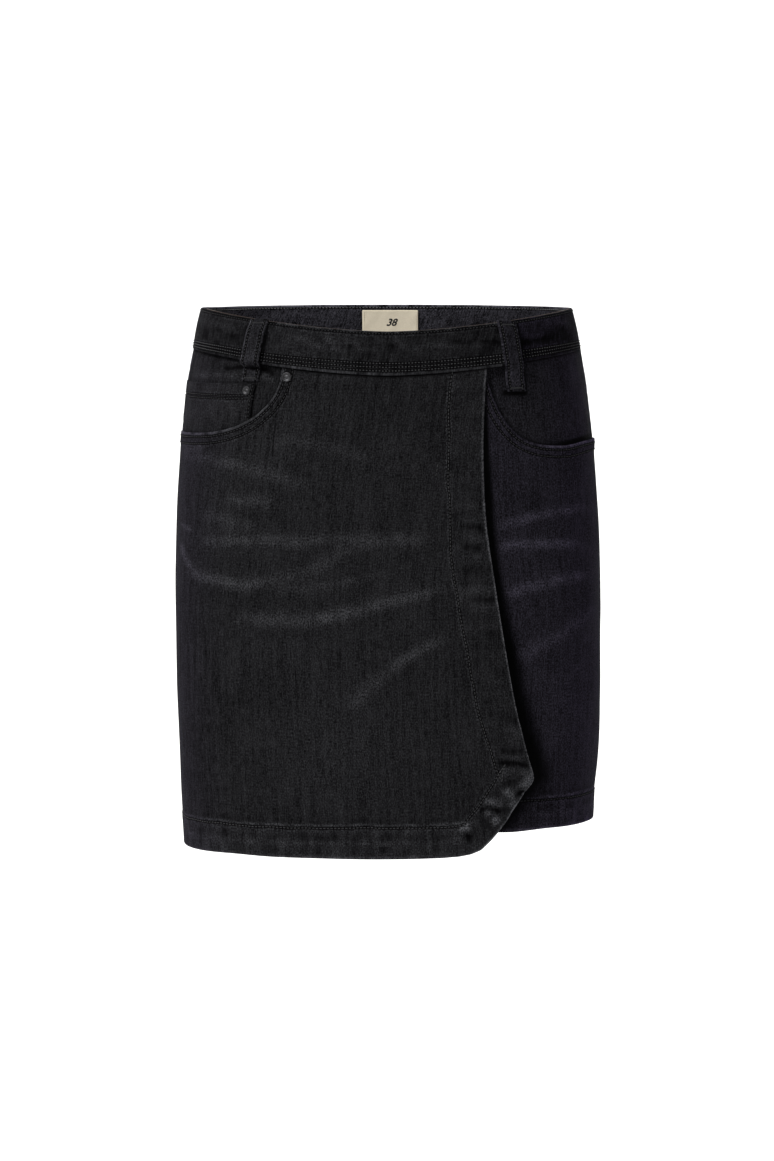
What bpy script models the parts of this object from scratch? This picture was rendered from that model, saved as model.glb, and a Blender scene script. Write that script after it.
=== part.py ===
"""Black denim wrap skort in its worn, hollow form: shorts with a wrap panel over the front.

Metres, +Z up, front towards -Y, the wearer's right at -X.
The origin is the middle of the waist opening, halfway down the side of the waistband.
"""
import math

import bmesh
import bpy
from mathutils import Vector

# ---------------------------------------------------------------- driving dimensions
SEAM_GAP = 0.0003            # clearance between two pieces sewn together
TOP_GAP = 0.0006             # clearance between a panel's top edge and the waistband
CLOTH = 0.0011               # wall of one denim panel
BAND_WALL = 0.0026           # folded waistband of the shorts
WRAP_WALL = 0.0012           # wall of the wrap panel
WRAP_BAND_WALL = 0.0022      # folded waistband of the wrap panel

CROTCH = -0.240              # height of the crotch point
FORK_TOP = -0.125            # height where the body starts to part into two legs
FORK_ROUNDING = 1.8          # how the body's two halves part between those heights
LEG_CLEARANCE = 0.0004       # half the gap between the inner thighs at the crotch
LEG_SPREAD = 0.0040          # half the further gap that opens by the hem
LEG_HEM = -0.4225            # hem of the shorts
WRAP_HEM = -0.4435           # hem of the wrap panel

WAIST_REACH = 0.1630         # half the width of the waistband's top edge
BAND_DEPTH = 0.0350          # height of the waistband
BAND_TAPER = 0.0003          # the waistband is this much lower at its sides
FRONT_DIP = 0.0004           # height of the band's top edge at the centre front
SIDE_TOP = 0.0184            # the same at the side seams
BACK_TOP = 0.0188            # the same at the centre back
DIP_POWER = 1.60             # how quickly the front edge climbs to the sides
BACK_POWER = 2               # the same for the back edge

# How far the outer face of each layer lies outside the form, and the thinner walls.
BAND_POWER = 2.35            # roundness of the sections at the waist
BAND_LIFT = 0.0012           # the shorts' waistband
BAND_STEP = 0.0022           # the back band thickens by this to meet the wrap's band
WRAP_BAND_LIFT = 0.0037
WRAP_LIFT = 0.0019
COIN_LIFT = 0.0001
LEFT_BACKING_LIFT = -0.0017
POCKET_SINK = -0.0027        # the right front lies this deep behind the pocket
SINK_SPAN = 14.0             # it eases back over this many degrees from the centre line
SINK_FROM = -0.1800          # and over this height below the pocket
SINK_RISE = 0.0400
MEET_SPAN = 20.0             # the right back eases out to the wrap panel over this angle
BAND_STEP_SPAN = 25.0        # and its band over this angle
POCKET_WALL = 0.0010
TAPE_WALL = 0.0010
TAPE_SHOWS = 0.0009          # the tape rises this far above the band
TAPE_TUCK = 0.0080
LABEL_WALL = 0.0010
LABEL_GAP = 0.0005

LOOP_WIDTH = 0.0172
LOOP_WALL = 0.0015
LOOP_STAND = 0.0025          # how far a loop stands off its band in the middle
LOOP_DROP = 0.0070           # below the seam the loop drops on to the panel over this height
LOOP_FREE = 0.0030           # and leaves its band this far below the seam
LOOP_ROWS = (0, 0.12, 0.35, 0.6, 0.85, 1.02)
LOOP_FOOT_ROWS = (0, 0.5, 1)

LABEL_WIDTH = 0.050
LABEL_HEIGHT = 0.030
LABEL_TOP = 0.0154
LABEL_MIDDLE = 0.002

COIN_TOP = -0.0443           # the coin pocket's opening
COIN_FOOT = -0.1000
RIGHT_POCKET_FOOT = -0.1250
LEFT_POCKET_FOOT = -0.1350
WRAP_BAND_END = 125.0        # angle at which the wrap's band ends, under a belt loop

TURN_STEP = 0.01             # the form's normals are measured over twice these steps
HEIGHT_STEP = 0.0015
SHARP_ANGLE = 35             # edges bent more than this stay sharp in the shading
RIVET_SIDES = 16
RIVET_GAP = 0.0004

# Level sections of the worn form: half width, depth in front and behind, roundness.
SECTION_COLUMNS = ("height", "half_width", "front", "back", "power")
SECTIONS = (
    (0.024, 0.1562, 0.1055, 0.1018, 2.35),
    (0.000, 0.1622, 0.1085, 0.1075, 2.35),
    (-0.0165, 0.1650, 0.1100, 0.1110, 2.35),
    (-0.045, 0.1706, 0.1115, 0.1165, 2.35),
    (-0.095, 0.1767, 0.1120, 0.1245, 2.35),
    (-0.140, 0.1803, 0.1113, 0.1292, 2.35),
    (-0.185, 0.1820, 0.1075, 0.1290, 2.31),
    (-0.230, 0.1833, 0.1000, 0.1235, 2.25),
    (-0.280, 0.1832, 0.0955, 0.1165, 2.20),
    (-0.330, 0.1822, 0.0940, 0.1118, 2.20),
    (-0.375, 0.1802, 0.0935, 0.1083, 2.20),
    (-0.450, 0.1765, 0.0930, 0.1055, 2.20),
)

# How far the wrap panel hangs in front of the shorts, and how square its section is.
DRAPE_COLUMNS = ("height", "off", "power")
DRAPE = (
    (0.024, 0.0000, 2.35),
    (-0.040, 0.0000, 2.35),
    (-0.100, 0.0024, 2.35),
    (-0.180, 0.0068, 2.50),
    (-0.230, 0.0158, 2.60),
    (-0.280, 0.0207, 2.60),
    (-0.350, 0.0222, 2.60),
    (-0.450, 0.0226, 2.60),
)

# Free edge of the wrap panel: distance from the centre line at each height.
EDGE_COLUMNS = ("height", "edge")
EDGE = (
    (-0.020, 0.0828),
    (-0.057, 0.0804),
    (-0.107, 0.0796),
    (-0.157, 0.0820),
    (-0.208, 0.0894),
    (-0.259, 0.0978),
    (-0.310, 0.1067),
    (-0.344, 0.1149),
    (-0.375, 0.1236),
    (-0.450, 0.1236),
)
CORNER_HEIGHT = -0.377       # lower corner of the free edge
CORNER_X = 0.1236
CUT_SLOPE = 1.38             # rise of the slanted cut for each metre across
CUT_ROUNDING = 0.0062        # how softly the cut runs into the hem
FLARE = 0.0070               # how far the free edge kicks out by the corner
FLARE_FROM_X = 0.0300        # the kick grows from here across
FLARE_ACROSS = 0.1000
FLARE_FROM = -0.2600         # and from this height down
FLARE_DOWN = 0.1100

# Pocket mouths: where the cut leaves the waist seam, its depth there and its shape.
MOUTH_COLUMNS = ("start", "depth", "power", "bend", "side_rise")
MOUTH_RIGHT = (0.0880, 0.0597, 2.4, 0.520, 0.0000)
MOUTH_LEFT = (0.0800, 0.0686, 5.0, 1.000, 0.0040)
MOUTH_PASSES = 8             # the mouth's height and width are found together in these steps
RISE_FROM = 0.70             # a mouth's rise to the side starts at this share of its width

# Belt loops: side of the body (-1 front), angle round the waist, how many degrees further on
# the top lies, height of the lower end, and how far the band and the cloth under the two ends
# lie outside the form.
LOOP_COLUMNS = ("name", "face", "angle", "lean", "foot", "band_lift", "foot_lift")
LOOPS = (
    ("front_right", -1, 49.8, 0.9, -0.0417, WRAP_BAND_LIFT, COIN_LIFT - POCKET_WALL - SEAM_GAP),
    ("front_left", -1, 125.7, 0.0, -0.0500, WRAP_BAND_LIFT, LEFT_BACKING_LIFT),
    ("back_right", 1, 42.0, 0.5, -0.0320, BAND_LIFT, 0.0),
    ("back_centre", 1, 90.0, 0.0, -0.0320, BAND_LIFT, 0.0),
    ("back_left", 1, 138.0, -0.4, -0.0320, BAND_LIFT, 0.0),
)

# Rivets: place on the front, the cloth they sit on and their width.
RIVET_COLUMNS = ("name", "x", "height", "lift", "diameter")
RIVETS = (
    ("pocket", -0.0852, -0.0373, WRAP_LIFT, 0.0085),
    ("coin", -0.1192, -0.0494, COIN_LIFT, 0.0075),
)
RIVET_PROFILE_COLUMNS = ("share_of_radius", "height")
RIVET_PROFILE = ((1.00, 0.0000), (1.00, 0.0005), (0.86, 0.0010), (0.45, 0.0013))

# Angles from the side seam to the centre line at which the panels have their columns.
LEFT_ANGLES = (0, 6, 13, 21, 29, 37, 45, 52, 58, 61.8, 64.2, 65.3, 73, 81, 90)
RIGHT_ANGLES = (0, 6, 13, 21, 29, 37, 45, 51.5, 56, 59, 61.4, 62.9)
RIGHT_MOUTH_ANGLE = 62.9
COIN_ANGLE = 51.5
PLAIN_ANGLES = tuple(range(0, 91, 9))
BAND_ANGLES = tuple(range(0, 181, 6))
FREE_SPAN = 100.0            # wrap columns past the pocket count to this at the free edge
WRAP_SHARES = (0.1, 0.2, 0.3, 0.42, 0.53, 0.63, 0.71, 0.78, 0.84, 0.9, 0.95, 1.0)

TOP_SHARES = (0, 0.15, 0.4, 0.7, 1)
POCKET_ROWS = (0, 0.25, 0.5, 0.75, 1)
BAND_ROWS = (0, 0.5, 1)
LABEL_SHARES = (0, 0.33, 0.67, 1)
BAND_CLEAR = 3               # no band column nearer than this many degrees to a band's end
BLOCK_LEVEL = -0.150
LOWER_LEVELS = (-0.170, -0.188, -0.203, -0.215, -0.224, -0.2305, -0.2355, -0.2385, CROTCH,
                -0.250, -0.275, -0.310, -0.350, -0.385, -0.410, LEG_HEM)
WRAP_ROWS = (0, 0.06, 0.13, 0.2, 0.28, 0.36, 0.44, 0.52, 0.6, 0.68, 0.76, 0.83, 0.89, 0.945, 1)


# ---------------------------------------------------------------- the worn form
def read_column(table, columns, name, height):
    """Value of one column at a height, on a smooth curve through the table's rows."""
    place = columns.index(name)
    rows = table
    if height >= rows[0][0]:
        return rows[0][place]
    if height <= rows[-1][0]:
        return rows[-1][place]
    i = next(k for k in range(len(rows) - 1) if rows[k][0] >= height >= rows[k + 1][0])

    def slope(k):
        above, below = max(k - 1, 0), min(k + 1, len(rows) - 1)
        return (rows[below][place] - rows[above][place]) / (rows[below][0] - rows[above][0])

    span = rows[i + 1][0] - rows[i][0]
    s = (height - rows[i][0]) / span
    start, end = rows[i][place], rows[i + 1][place]
    return (start * (2 * s ** 3 - 3 * s ** 2 + 1) + end * (3 * s ** 2 - 2 * s ** 3)
            + span * (slope(i) * (s ** 3 - 2 * s ** 2 + s) + slope(i + 1) * (s ** 3 - s ** 2)))


def ease(value):
    """0 to 1, smooth at both ends."""
    value = min(max(value, 0.0), 1.0)
    return value * value * (3 - 2 * value)


def ring_point(middle, reach, depth, power, turn):
    """Point of a rounded section: turn 0 is its side and pi its other side."""
    c, s = math.cos(turn), math.sin(turn)
    x = middle + reach * math.copysign(abs(c) ** (2 / power), c)
    return x, depth * abs(s) ** (2 / power)


def seam_turn(depth, power):
    """The turn at which a panel stops short of a side seam."""
    return math.asin((SEAM_GAP / 2 / depth) ** (power / 2))


def body_size(face, height):
    return (read_column(SECTIONS, SECTION_COLUMNS, "half_width", height),
            read_column(SECTIONS, SECTION_COLUMNS, "front" if face < 0 else "back", height),
            read_column(SECTIONS, SECTION_COLUMNS, "power", height))


class Form:
    """A surface read by angle and height: place gives its points, turn_at their turn."""

    def __init__(self, place, turn_at, outward):
        self.place = place
        self.turn_at = turn_at
        self.outward = outward

    def point(self, angle, height):
        return self.place(self.turn_at(angle, height), height)

    def lifted(self, angle, height, lift):
        """A point moved out along the surface's own normal."""
        turn = self.turn_at(angle, height)
        before, after = max(turn - TURN_STEP, 0.0), min(turn + TURN_STEP, math.pi)
        around = self.place(after, height) - self.place(before, height)
        up = self.place(turn, height + HEIGHT_STEP) - self.place(turn, height - HEIGHT_STEP)
        return self.place(turn, height) + around.cross(up).normalized() * (self.outward * lift)


def quarter(side, face):
    """Form of one quarter of the shorts: angle 0 at the side seam, 90 at the centre or inseam.

    Between FORK_TOP and CROTCH the centre seam runs in under the body on a smooth curve.
    """
    def thigh(height):
        """Middle line, reach from it and inner clearance of the half body or the leg."""
        half_width = body_size(face, height)[0]
        fall = min(max((FORK_TOP - height) / (FORK_TOP - CROTCH), 0.0), 1.0)
        below = max(0.0, (CROTCH - height) / (CROTCH - LEG_HEM))
        inner = LEG_CLEARANCE + LEG_SPREAD * below
        middle = (half_width + inner) / 2 * (1 - (1 - fall ** 2) ** FORK_ROUNDING)
        return middle, half_width - middle, inner

    def place(turn, height):
        middle, reach, _ = thigh(height)
        _, depth, power = body_size(face, height)
        x, y = ring_point(middle, reach, depth, power, turn)
        return Vector((side * x, face * y, height))

    def turn_at(angle, height):
        middle, reach, inner = thigh(height)
        _, depth, power = body_size(face, height)
        first = seam_turn(depth, power)
        ratio = min((middle - inner) / reach, 1.0)
        last = math.acos(-math.copysign(abs(ratio) ** (power / 2), ratio))
        return first + (min(last, math.pi - first) - first) * angle / 90

    return Form(place, turn_at, side * face)


def half_turns(depth_at, power_at):
    """Turn for each angle on a form that runs from side seam to side seam."""
    def turn_at(angle, height):
        first = seam_turn(depth_at(height), power_at(height))
        return first + (math.pi - 2 * first) * angle / 180
    return turn_at


def torso(face):
    """Form of the waist all across: angle 0 at the right side seam, 180 at the left one."""
    def place(turn, height):
        half_width, depth, power = body_size(face, height)
        x, y = ring_point(0, half_width, depth, power, turn)
        return Vector((-x, face * y, height))

    return Form(place, half_turns(lambda z: body_size(face, z)[1], lambda z: body_size(face, z)[2]),
                -face)


def wrap_depth(height):
    return body_size(-1, height)[1] + read_column(DRAPE, DRAPE_COLUMNS, "off", height)


def wrap_power(height):
    return read_column(DRAPE, DRAPE_COLUMNS, "power", height)


def wrap():
    """Form of the hanging wrap panel: angle 0 at the right side seam, 90 at the centre front."""
    def place(turn, height):
        half_width = body_size(-1, height)[0]
        x, y = ring_point(0, half_width, wrap_depth(height), wrap_power(height), turn)
        across = ease((-x - FLARE_FROM_X) / FLARE_ACROSS)
        kick = FLARE * across * ease((FLARE_FROM - height) / FLARE_DOWN)
        return Vector((-x, -y - kick, height))

    return Form(place, half_turns(wrap_depth, wrap_power), 1)


def angle_at(x, height, power):
    """Angle from the right side seam at which the form is x metres from the centre line."""
    share = min(abs(x) / body_size(-1, height)[0], 1.0)
    turn = math.degrees(math.acos(share ** (power / 2)))
    return turn if x < 0 else 180 - turn


# ---------------------------------------------------------------- edges of the pieces
def to_side(x):
    """0 on the centre line, 1 at the side of the waistband."""
    return min(abs(x) / WAIST_REACH, 1.0)


def front_top(x):
    return FRONT_DIP + (SIDE_TOP - FRONT_DIP) * to_side(x) ** DIP_POWER


def back_top(x):
    return BACK_TOP + (SIDE_TOP - BACK_TOP) * to_side(x) ** BACK_POWER


def front_seam(x):
    return front_top(x) - BAND_DEPTH + BAND_TAPER * to_side(x)


def back_seam(x):
    return back_top(x) - BAND_DEPTH + BAND_TAPER * to_side(x)


def waist_edge(form, seam):
    """Top edge of a panel sewn to the waistband, as a height for each angle."""
    return lambda angle: seam(form.point(angle, 0).x) - TOP_GAP


def mouth_edge(form, mouth, seam, angle_of=None):
    """Top edge of a panel with a pocket mouth cut out of its corner."""
    cut = dict(zip(MOUTH_COLUMNS, mouth))
    start = cut["start"]

    def height_at(column):
        angle = angle_of(column, seam(0)) if angle_of else column
        waist = waist_edge(form, seam)(angle)
        height = waist
        for _ in range(MOUTH_PASSES):
            reach = abs(form.point(angle, height).x)
            along = (reach - start) / (body_size(-1, height)[0] - start)
            if along <= 0 or (angle_of and angle > RIGHT_MOUTH_ANGLE):
                return waist
            fall = (1 - (1 - min(along, 1.0)) ** cut["power"]) ** cut["bend"]
            rise = cut["side_rise"] * ease((along - RISE_FROM) / (1 - RISE_FROM))
            height = seam(start) - TOP_GAP - cut["depth"] * fall + rise
        return height
    return height_at


def wrap_foot(angle):
    """Height of the wrap panel's bottom edge: the level hem, rounded into the slanted cut."""
    x = wrap().point(angle, WRAP_HEM).x
    cut = CORNER_HEIGHT - (CORNER_X - x) * CUT_SLOPE
    half = (cut - WRAP_HEM) / 2
    return WRAP_HEM + half + math.hypot(half, CUT_ROUNDING)


# ---------------------------------------------------------------- making solids
def plain_material(name, color, roughness, metallic=0.0):
    material = bpy.data.materials.new(name)
    material.use_nodes = True
    shader = material.node_tree.nodes["Principled BSDF"]
    shader.inputs["Base Color"].default_value = (*color, 1)
    shader.inputs["Roughness"].default_value = roughness
    shader.inputs["Metallic"].default_value = metallic
    material.diffuse_color = (*color, 1)
    return material


def add_object(name, bm, material):
    bmesh.ops.recalc_face_normals(bm, faces=bm.faces)
    mesh = bpy.data.meshes.new(name)
    bm.to_mesh(mesh)
    bm.free()
    mesh.shade_smooth()
    mesh.set_sharp_from_angle(angle=math.radians(SHARP_ANGLE))
    mesh.materials.append(material)
    thing = bpy.data.objects.new(name, mesh)
    bpy.context.scene.collection.objects.link(thing)
    return thing


def add_cloth(name, outer, inner, material):
    """Closed wall between two grids of points with the same rows and columns."""
    bm = bmesh.new()
    skins = [[[bm.verts.new(point) for point in row] for row in grid] for grid in (outer, inner)]
    last_row, last_column = len(outer) - 1, len(outer[0]) - 1
    for skin in skins:
        for r in range(last_row):
            for c in range(last_column):
                bm.faces.new((skin[r][c], skin[r][c + 1], skin[r + 1][c + 1], skin[r + 1][c]))
    border = [(0, c) for c in range(last_column)]
    border += [(r, last_column) for r in range(last_row)]
    border += [(last_row, c) for c in range(last_column, 0, -1)]
    border += [(r, 0) for r in range(last_row, 0, -1)]
    for k, (r, c) in enumerate(border):
        r2, c2 = border[(k + 1) % len(border)]
        bm.faces.new((skins[0][r][c], skins[0][r2][c2], skins[1][r2][c2], skins[1][r][c]))
    add_object(name, bm, material)


def add_wall(name, form, columns, heights_at, lift_at, wall, material, angle_of=None):
    """Cloth wall on a form: lift_at gives its outer face, wall its thickness."""
    grids = ([], [])
    for r in range(len(heights_at(columns[0]))):
        for grid in grids:
            grid.append([])
        for column in columns:
            height = heights_at(column)[r]
            angle = angle_of(column, height) if angle_of else column
            lift = lift_at(angle, height)
            grids[0][-1].append(form.lifted(angle, height, lift))
            grids[1][-1].append(form.lifted(angle, height, lift - wall))
    add_cloth(name, grids[0], grids[1], material)


def spread(start, end, shares):
    return [start + (end - start) * share for share in shares]


# ---------------------------------------------------------------- pieces
def add_shorts_panel(name, form, angles, top_at, lift_at, material):
    def heights_at(angle):
        return spread(top_at(angle), BLOCK_LEVEL, TOP_SHARES) + list(LOWER_LEVELS)

    add_wall(name, form, angles, heights_at, lift_at, CLOTH, material)


def add_pocket_cloth(name, form, angles, top_at, foot, lift, material):
    def heights_at(angle):
        return spread(top_at(angle), foot, POCKET_ROWS)

    add_wall(name, form, angles, heights_at, lambda *_: lift, POCKET_WALL, material)


def wrap_angle(column, height):
    """Angle of a wrap panel column: fixed beside the pocket, then shared out to the free edge."""
    if column <= RIGHT_MOUTH_ANGLE:
        return column
    edge = angle_at(read_column(EDGE, EDGE_COLUMNS, "edge", height), height, wrap_power(height))
    return RIGHT_MOUTH_ANGLE + (column - RIGHT_MOUTH_ANGLE) / FREE_SPAN * (edge - RIGHT_MOUTH_ANGLE)


def add_wrap_panel(material):
    form = wrap()
    free_columns = [RIGHT_MOUTH_ANGLE + share * FREE_SPAN for share in WRAP_SHARES]
    top_at = mouth_edge(form, MOUTH_RIGHT, front_seam, wrap_angle)

    def heights_at(column):
        return spread(top_at(column), wrap_foot(wrap_angle(column, WRAP_HEM)), WRAP_ROWS)

    add_wall("wrap_panel", form, list(RIGHT_ANGLES) + free_columns, heights_at,
             lambda *_: WRAP_LIFT, WRAP_WALL, material, wrap_angle)


def add_band(name, face, first, last, top_at, seam_at, lift_at, wall, material):
    form = torso(face)
    inside = [a for a in BAND_ANGLES if first + BAND_CLEAR < a < last - BAND_CLEAR]

    def heights_at(angle):
        x = form.point(angle, 0).x
        return spread(top_at(x), seam_at(x), BAND_ROWS)

    add_wall(name, form, [first] + inside + [last], heights_at, lift_at, wall, material)


def add_loop(name, face, angle, lean, foot, band_lift, foot_lift, material):
    """Belt loop: tacked on the band at its top, standing off it, tacked again below the seam."""
    form = torso(face)
    middle = form.point(angle, 0)
    half = LOOP_WIDTH / 2 / (form.point(angle + 1, 0) - middle).length
    top = front_top(middle.x) if face < 0 else back_top(middle.x)
    seam = front_seam(middle.x) if face < 0 else back_seam(middle.x)

    def heights_at(_):
        return (spread(top, seam, LOOP_ROWS)
                + spread(seam - LOOP_DROP, foot, LOOP_FOOT_ROWS))

    def lift_at(_, height):
        if height < seam - LOOP_FREE:
            return foot_lift + SEAM_GAP + LOOP_WALL
        along = min((top - height) / (top - seam), 1.0)
        return band_lift + SEAM_GAP + LOOP_WALL + LOOP_STAND * math.sin(math.pi * along)

    def leaning(column, height):
        return column + lean * (height - foot) / (top - foot)

    add_wall(name, form, [angle - half, angle, angle + half], heights_at, lift_at,
             LOOP_WALL, material, leaning)


def add_rivet(name, form, x, height, lift, diameter, material):
    """Metal rivet cap: a low dome on a round plate, seated on the cloth at x and height."""
    bm = bmesh.new()
    radius = diameter / 2
    turns = [k * math.tau / RIVET_SIDES for k in range(RIVET_SIDES)]
    rings = []
    for share, rise in RIVET_PROFILE:
        r = radius * share
        rings.append([bm.verts.new((r * math.cos(t), r * math.sin(t), rise)) for t in turns])
    for low, high in zip(rings, rings[1:]):
        for k in range(RIVET_SIDES):
            n = (k + 1) % RIVET_SIDES
            bm.faces.new((low[k], low[n], high[n], high[k]))
    bm.faces.new(rings[-1])
    bm.faces.new(rings[0][::-1])
    rivet = add_object(name, bm, material)
    angle = angle_at(x, height, BAND_POWER)
    seat = form.lifted(angle, height, lift + RIVET_GAP)
    rivet.location = seat
    rivet.rotation_mode = "QUATERNION"
    rivet.rotation_quaternion = (seat - form.lifted(angle, height, 0)).to_track_quat("Z", "Y")


# ---------------------------------------------------------------- the skort
def build_waist(denim, brown, cream):
    add_band("waistband_front", -1, 0, 180, front_top, front_seam,
             lambda *_: BAND_LIFT, BAND_WALL, denim)
    add_band("waistband_back", 1, 0, 180, back_top, back_seam,
             lambda angle, _: BAND_LIFT + BAND_STEP * ease(1 - angle / BAND_STEP_SPAN), BAND_WALL, denim)
    add_band("waistband_wrap", -1, 0, WRAP_BAND_END, front_top, front_seam,
             lambda *_: WRAP_BAND_LIFT, WRAP_BAND_WALL, denim)
    add_band("waist_tape", -1, 0, 180, lambda x: front_top(x) + TAPE_SHOWS,
             lambda x: front_top(x) - TAPE_TUCK, lambda *_: BAND_LIFT - BAND_WALL - SEAM_GAP,
             TAPE_WALL, brown)
    form = torso(1)
    ends = [angle_at(LABEL_MIDDLE + k * LABEL_WIDTH, 0, BAND_POWER) for k in (-0.5, 0.5)]
    add_wall("waist_label", form, spread(*ends, LABEL_SHARES),
             lambda _: spread(LABEL_TOP, LABEL_TOP - LABEL_HEIGHT, BAND_ROWS),
             lambda *_: BAND_LIFT - BAND_WALL - LABEL_GAP, LABEL_WALL, cream)


def build_shorts(denim):
    def behind_pocket(angle, height):
        across = ease((90 - angle) / SINK_SPAN)
        return POCKET_SINK * across * ease((height - SINK_FROM) / SINK_RISE)

    def meets_wrap(angle, _):
        return WRAP_LIFT * ease(1 - angle / MEET_SPAN)

    def level(*_):
        return 0.0

    left, right = quarter(1, -1), quarter(-1, -1)
    back_left, back_right = quarter(1, 1), quarter(-1, 1)
    add_shorts_panel("front_right", right, RIGHT_ANGLES + (68, 73, 81, 90),
                     waist_edge(right, front_seam), behind_pocket, denim)
    add_shorts_panel("front_left", left, LEFT_ANGLES, mouth_edge(left, MOUTH_LEFT, front_seam),
                     level, denim)
    add_shorts_panel("back_right", back_right, PLAIN_ANGLES, waist_edge(back_right, back_seam),
                     meets_wrap, denim)
    add_shorts_panel("back_left", back_left, PLAIN_ANGLES, waist_edge(back_left, back_seam),
                     level, denim)
    add_pocket_cloth("pocket_backing_left", left, LEFT_ANGLES[:-2], waist_edge(left, front_seam),
                     LEFT_POCKET_FOOT, LEFT_BACKING_LIFT, denim)


def build_right_pocket(denim):
    form = wrap()
    add_pocket_cloth("pocket_backing_right", form, RIGHT_ANGLES + (68, 73),
                     waist_edge(form, front_seam), RIGHT_POCKET_FOOT,
                     COIN_LIFT - POCKET_WALL - SEAM_GAP, denim)
    coin_angles = [angle for angle in RIGHT_ANGLES if angle <= COIN_ANGLE]
    add_pocket_cloth("coin_pocket", form, coin_angles, lambda _: COIN_TOP, COIN_FOOT,
                     COIN_LIFT, denim)


def build_loops(denim):
    for row in LOOPS:
        loop = dict(zip(LOOP_COLUMNS, row))
        add_loop("belt_loop_" + loop["name"], loop["face"], loop["angle"], loop["lean"],
                 loop["foot"], loop["band_lift"], loop["foot_lift"], denim)


def build_rivets(metal):
    form = wrap()
    for row in RIVETS:
        rivet = dict(zip(RIVET_COLUMNS, row))
        add_rivet("rivet_" + rivet["name"], form, rivet["x"], rivet["height"], rivet["lift"],
                  rivet["diameter"], metal)


def build_skort():
    for thing in list(bpy.data.objects):
        bpy.data.objects.remove(thing, do_unlink=True)
    denim = plain_material("black_denim", (0.0150, 0.0150, 0.0165), 0.85)
    brown = plain_material("brown_tape", (0.085, 0.060, 0.045), 0.80)
    cream = plain_material("cream_label", (0.560, 0.490, 0.350), 0.75)
    metal = plain_material("grey_metal", (0.300, 0.300, 0.305), 0.38, 1.0)
    build_waist(denim, brown, cream)
    build_shorts(denim)
    build_right_pocket(denim)
    add_wrap_panel(denim)
    build_loops(denim)
    build_rivets(metal)


build_skort()
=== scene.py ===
"""Looks of a black denim wrap skort: shorts with a panel hung over the front.

Metres, +Z up, front towards -Y, the wearer's right at -X. The pieces follow the order in which
the garment is sewn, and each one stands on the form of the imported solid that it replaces.
"""
import math

import bpy
import numpy as np
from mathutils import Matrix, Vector


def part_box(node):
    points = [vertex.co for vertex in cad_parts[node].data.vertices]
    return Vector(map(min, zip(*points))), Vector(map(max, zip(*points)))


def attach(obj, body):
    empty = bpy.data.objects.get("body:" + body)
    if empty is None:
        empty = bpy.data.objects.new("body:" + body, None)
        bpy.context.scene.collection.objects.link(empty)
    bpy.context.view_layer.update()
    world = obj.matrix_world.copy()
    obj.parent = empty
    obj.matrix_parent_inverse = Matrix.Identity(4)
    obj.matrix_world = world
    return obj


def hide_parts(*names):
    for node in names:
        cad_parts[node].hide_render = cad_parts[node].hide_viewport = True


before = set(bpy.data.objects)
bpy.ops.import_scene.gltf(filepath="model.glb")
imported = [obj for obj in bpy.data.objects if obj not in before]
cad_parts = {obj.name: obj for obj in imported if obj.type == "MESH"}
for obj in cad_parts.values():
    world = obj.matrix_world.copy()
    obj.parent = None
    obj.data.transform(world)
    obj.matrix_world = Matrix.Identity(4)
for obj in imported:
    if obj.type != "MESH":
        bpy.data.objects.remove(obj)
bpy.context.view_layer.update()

# ------------------------------------------------------------------ backs of the shorts
# Two panels of black stretch denim, 1.1 mm thick, cut with a curved centre seam and a fork.
# They are joined by a felled seam, topstitched twice, and their hems are turned up 25 mm.

# Level sections of the worn body: height, half width, depth in front and behind, roundness.
SECTIONS = (
    (0.024, 0.1562, 0.1055, 0.1018, 2.35),
    (0.000, 0.1622, 0.1085, 0.1075, 2.35),
    (-0.0165, 0.1650, 0.1100, 0.1110, 2.35),
    (-0.045, 0.1706, 0.1115, 0.1165, 2.35),
    (-0.095, 0.1767, 0.1120, 0.1245, 2.35),
    (-0.140, 0.1803, 0.1113, 0.1292, 2.35),
    (-0.185, 0.1820, 0.1075, 0.1290, 2.31),
    (-0.230, 0.1833, 0.1000, 0.1235, 2.25),
    (-0.280, 0.1832, 0.0955, 0.1165, 2.20),
    (-0.330, 0.1822, 0.0940, 0.1118, 2.20),
    (-0.375, 0.1802, 0.0935, 0.1083, 2.20),
    (-0.450, 0.1765, 0.0930, 0.1055, 2.20),
)
HALF_WIDTH, FRONT_DEPTH, BACK_DEPTH, ROUNDNESS = 1, 2, 3, 4
SEAM_GAP = 0.0003            # between two pieces sewn together
TOP_GAP = 0.0002             # between a panel's top edge and the waistband
CLOTH = 0.0011               # one layer of denim
CROTCH = -0.240              # where the two legs meet
FORK_TOP = -0.125            # where the body starts to part into two legs
FORK_ROUNDING = 1.8          # how soon the fork opens out below that
LEG_CLEARANCE = 0.0001       # half the gap between the thighs at the crotch
LEG_SPREAD = 0.0040          # half the further gap at the hem
CROTCH_LAP = 0.0009          # the two sides lap this much in the seam under the crotch
LAP_START = 0.030            # the lap grows to that over this height below the fork's top
LEG_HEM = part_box("front_left")[0][2]
EDGE_ROLL = 0.0010           # a folded edge is this round, so the cloth's face ends before it
HEM_TURN = 0.0246            # depth of a leg's turned-up hem
WRAP_LIFT = 0.0019           # outer face of the wrap panel above the body
STEP_REACH = 0.045           # the back comes out to meet it over this way from the side seam
SEAM_EXTRA = 0.0012          # a back's cloth is this much thicker at its side seam
SWELL_REACH = 0.060          # a side seam's fullness dies away over this way from it
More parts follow.
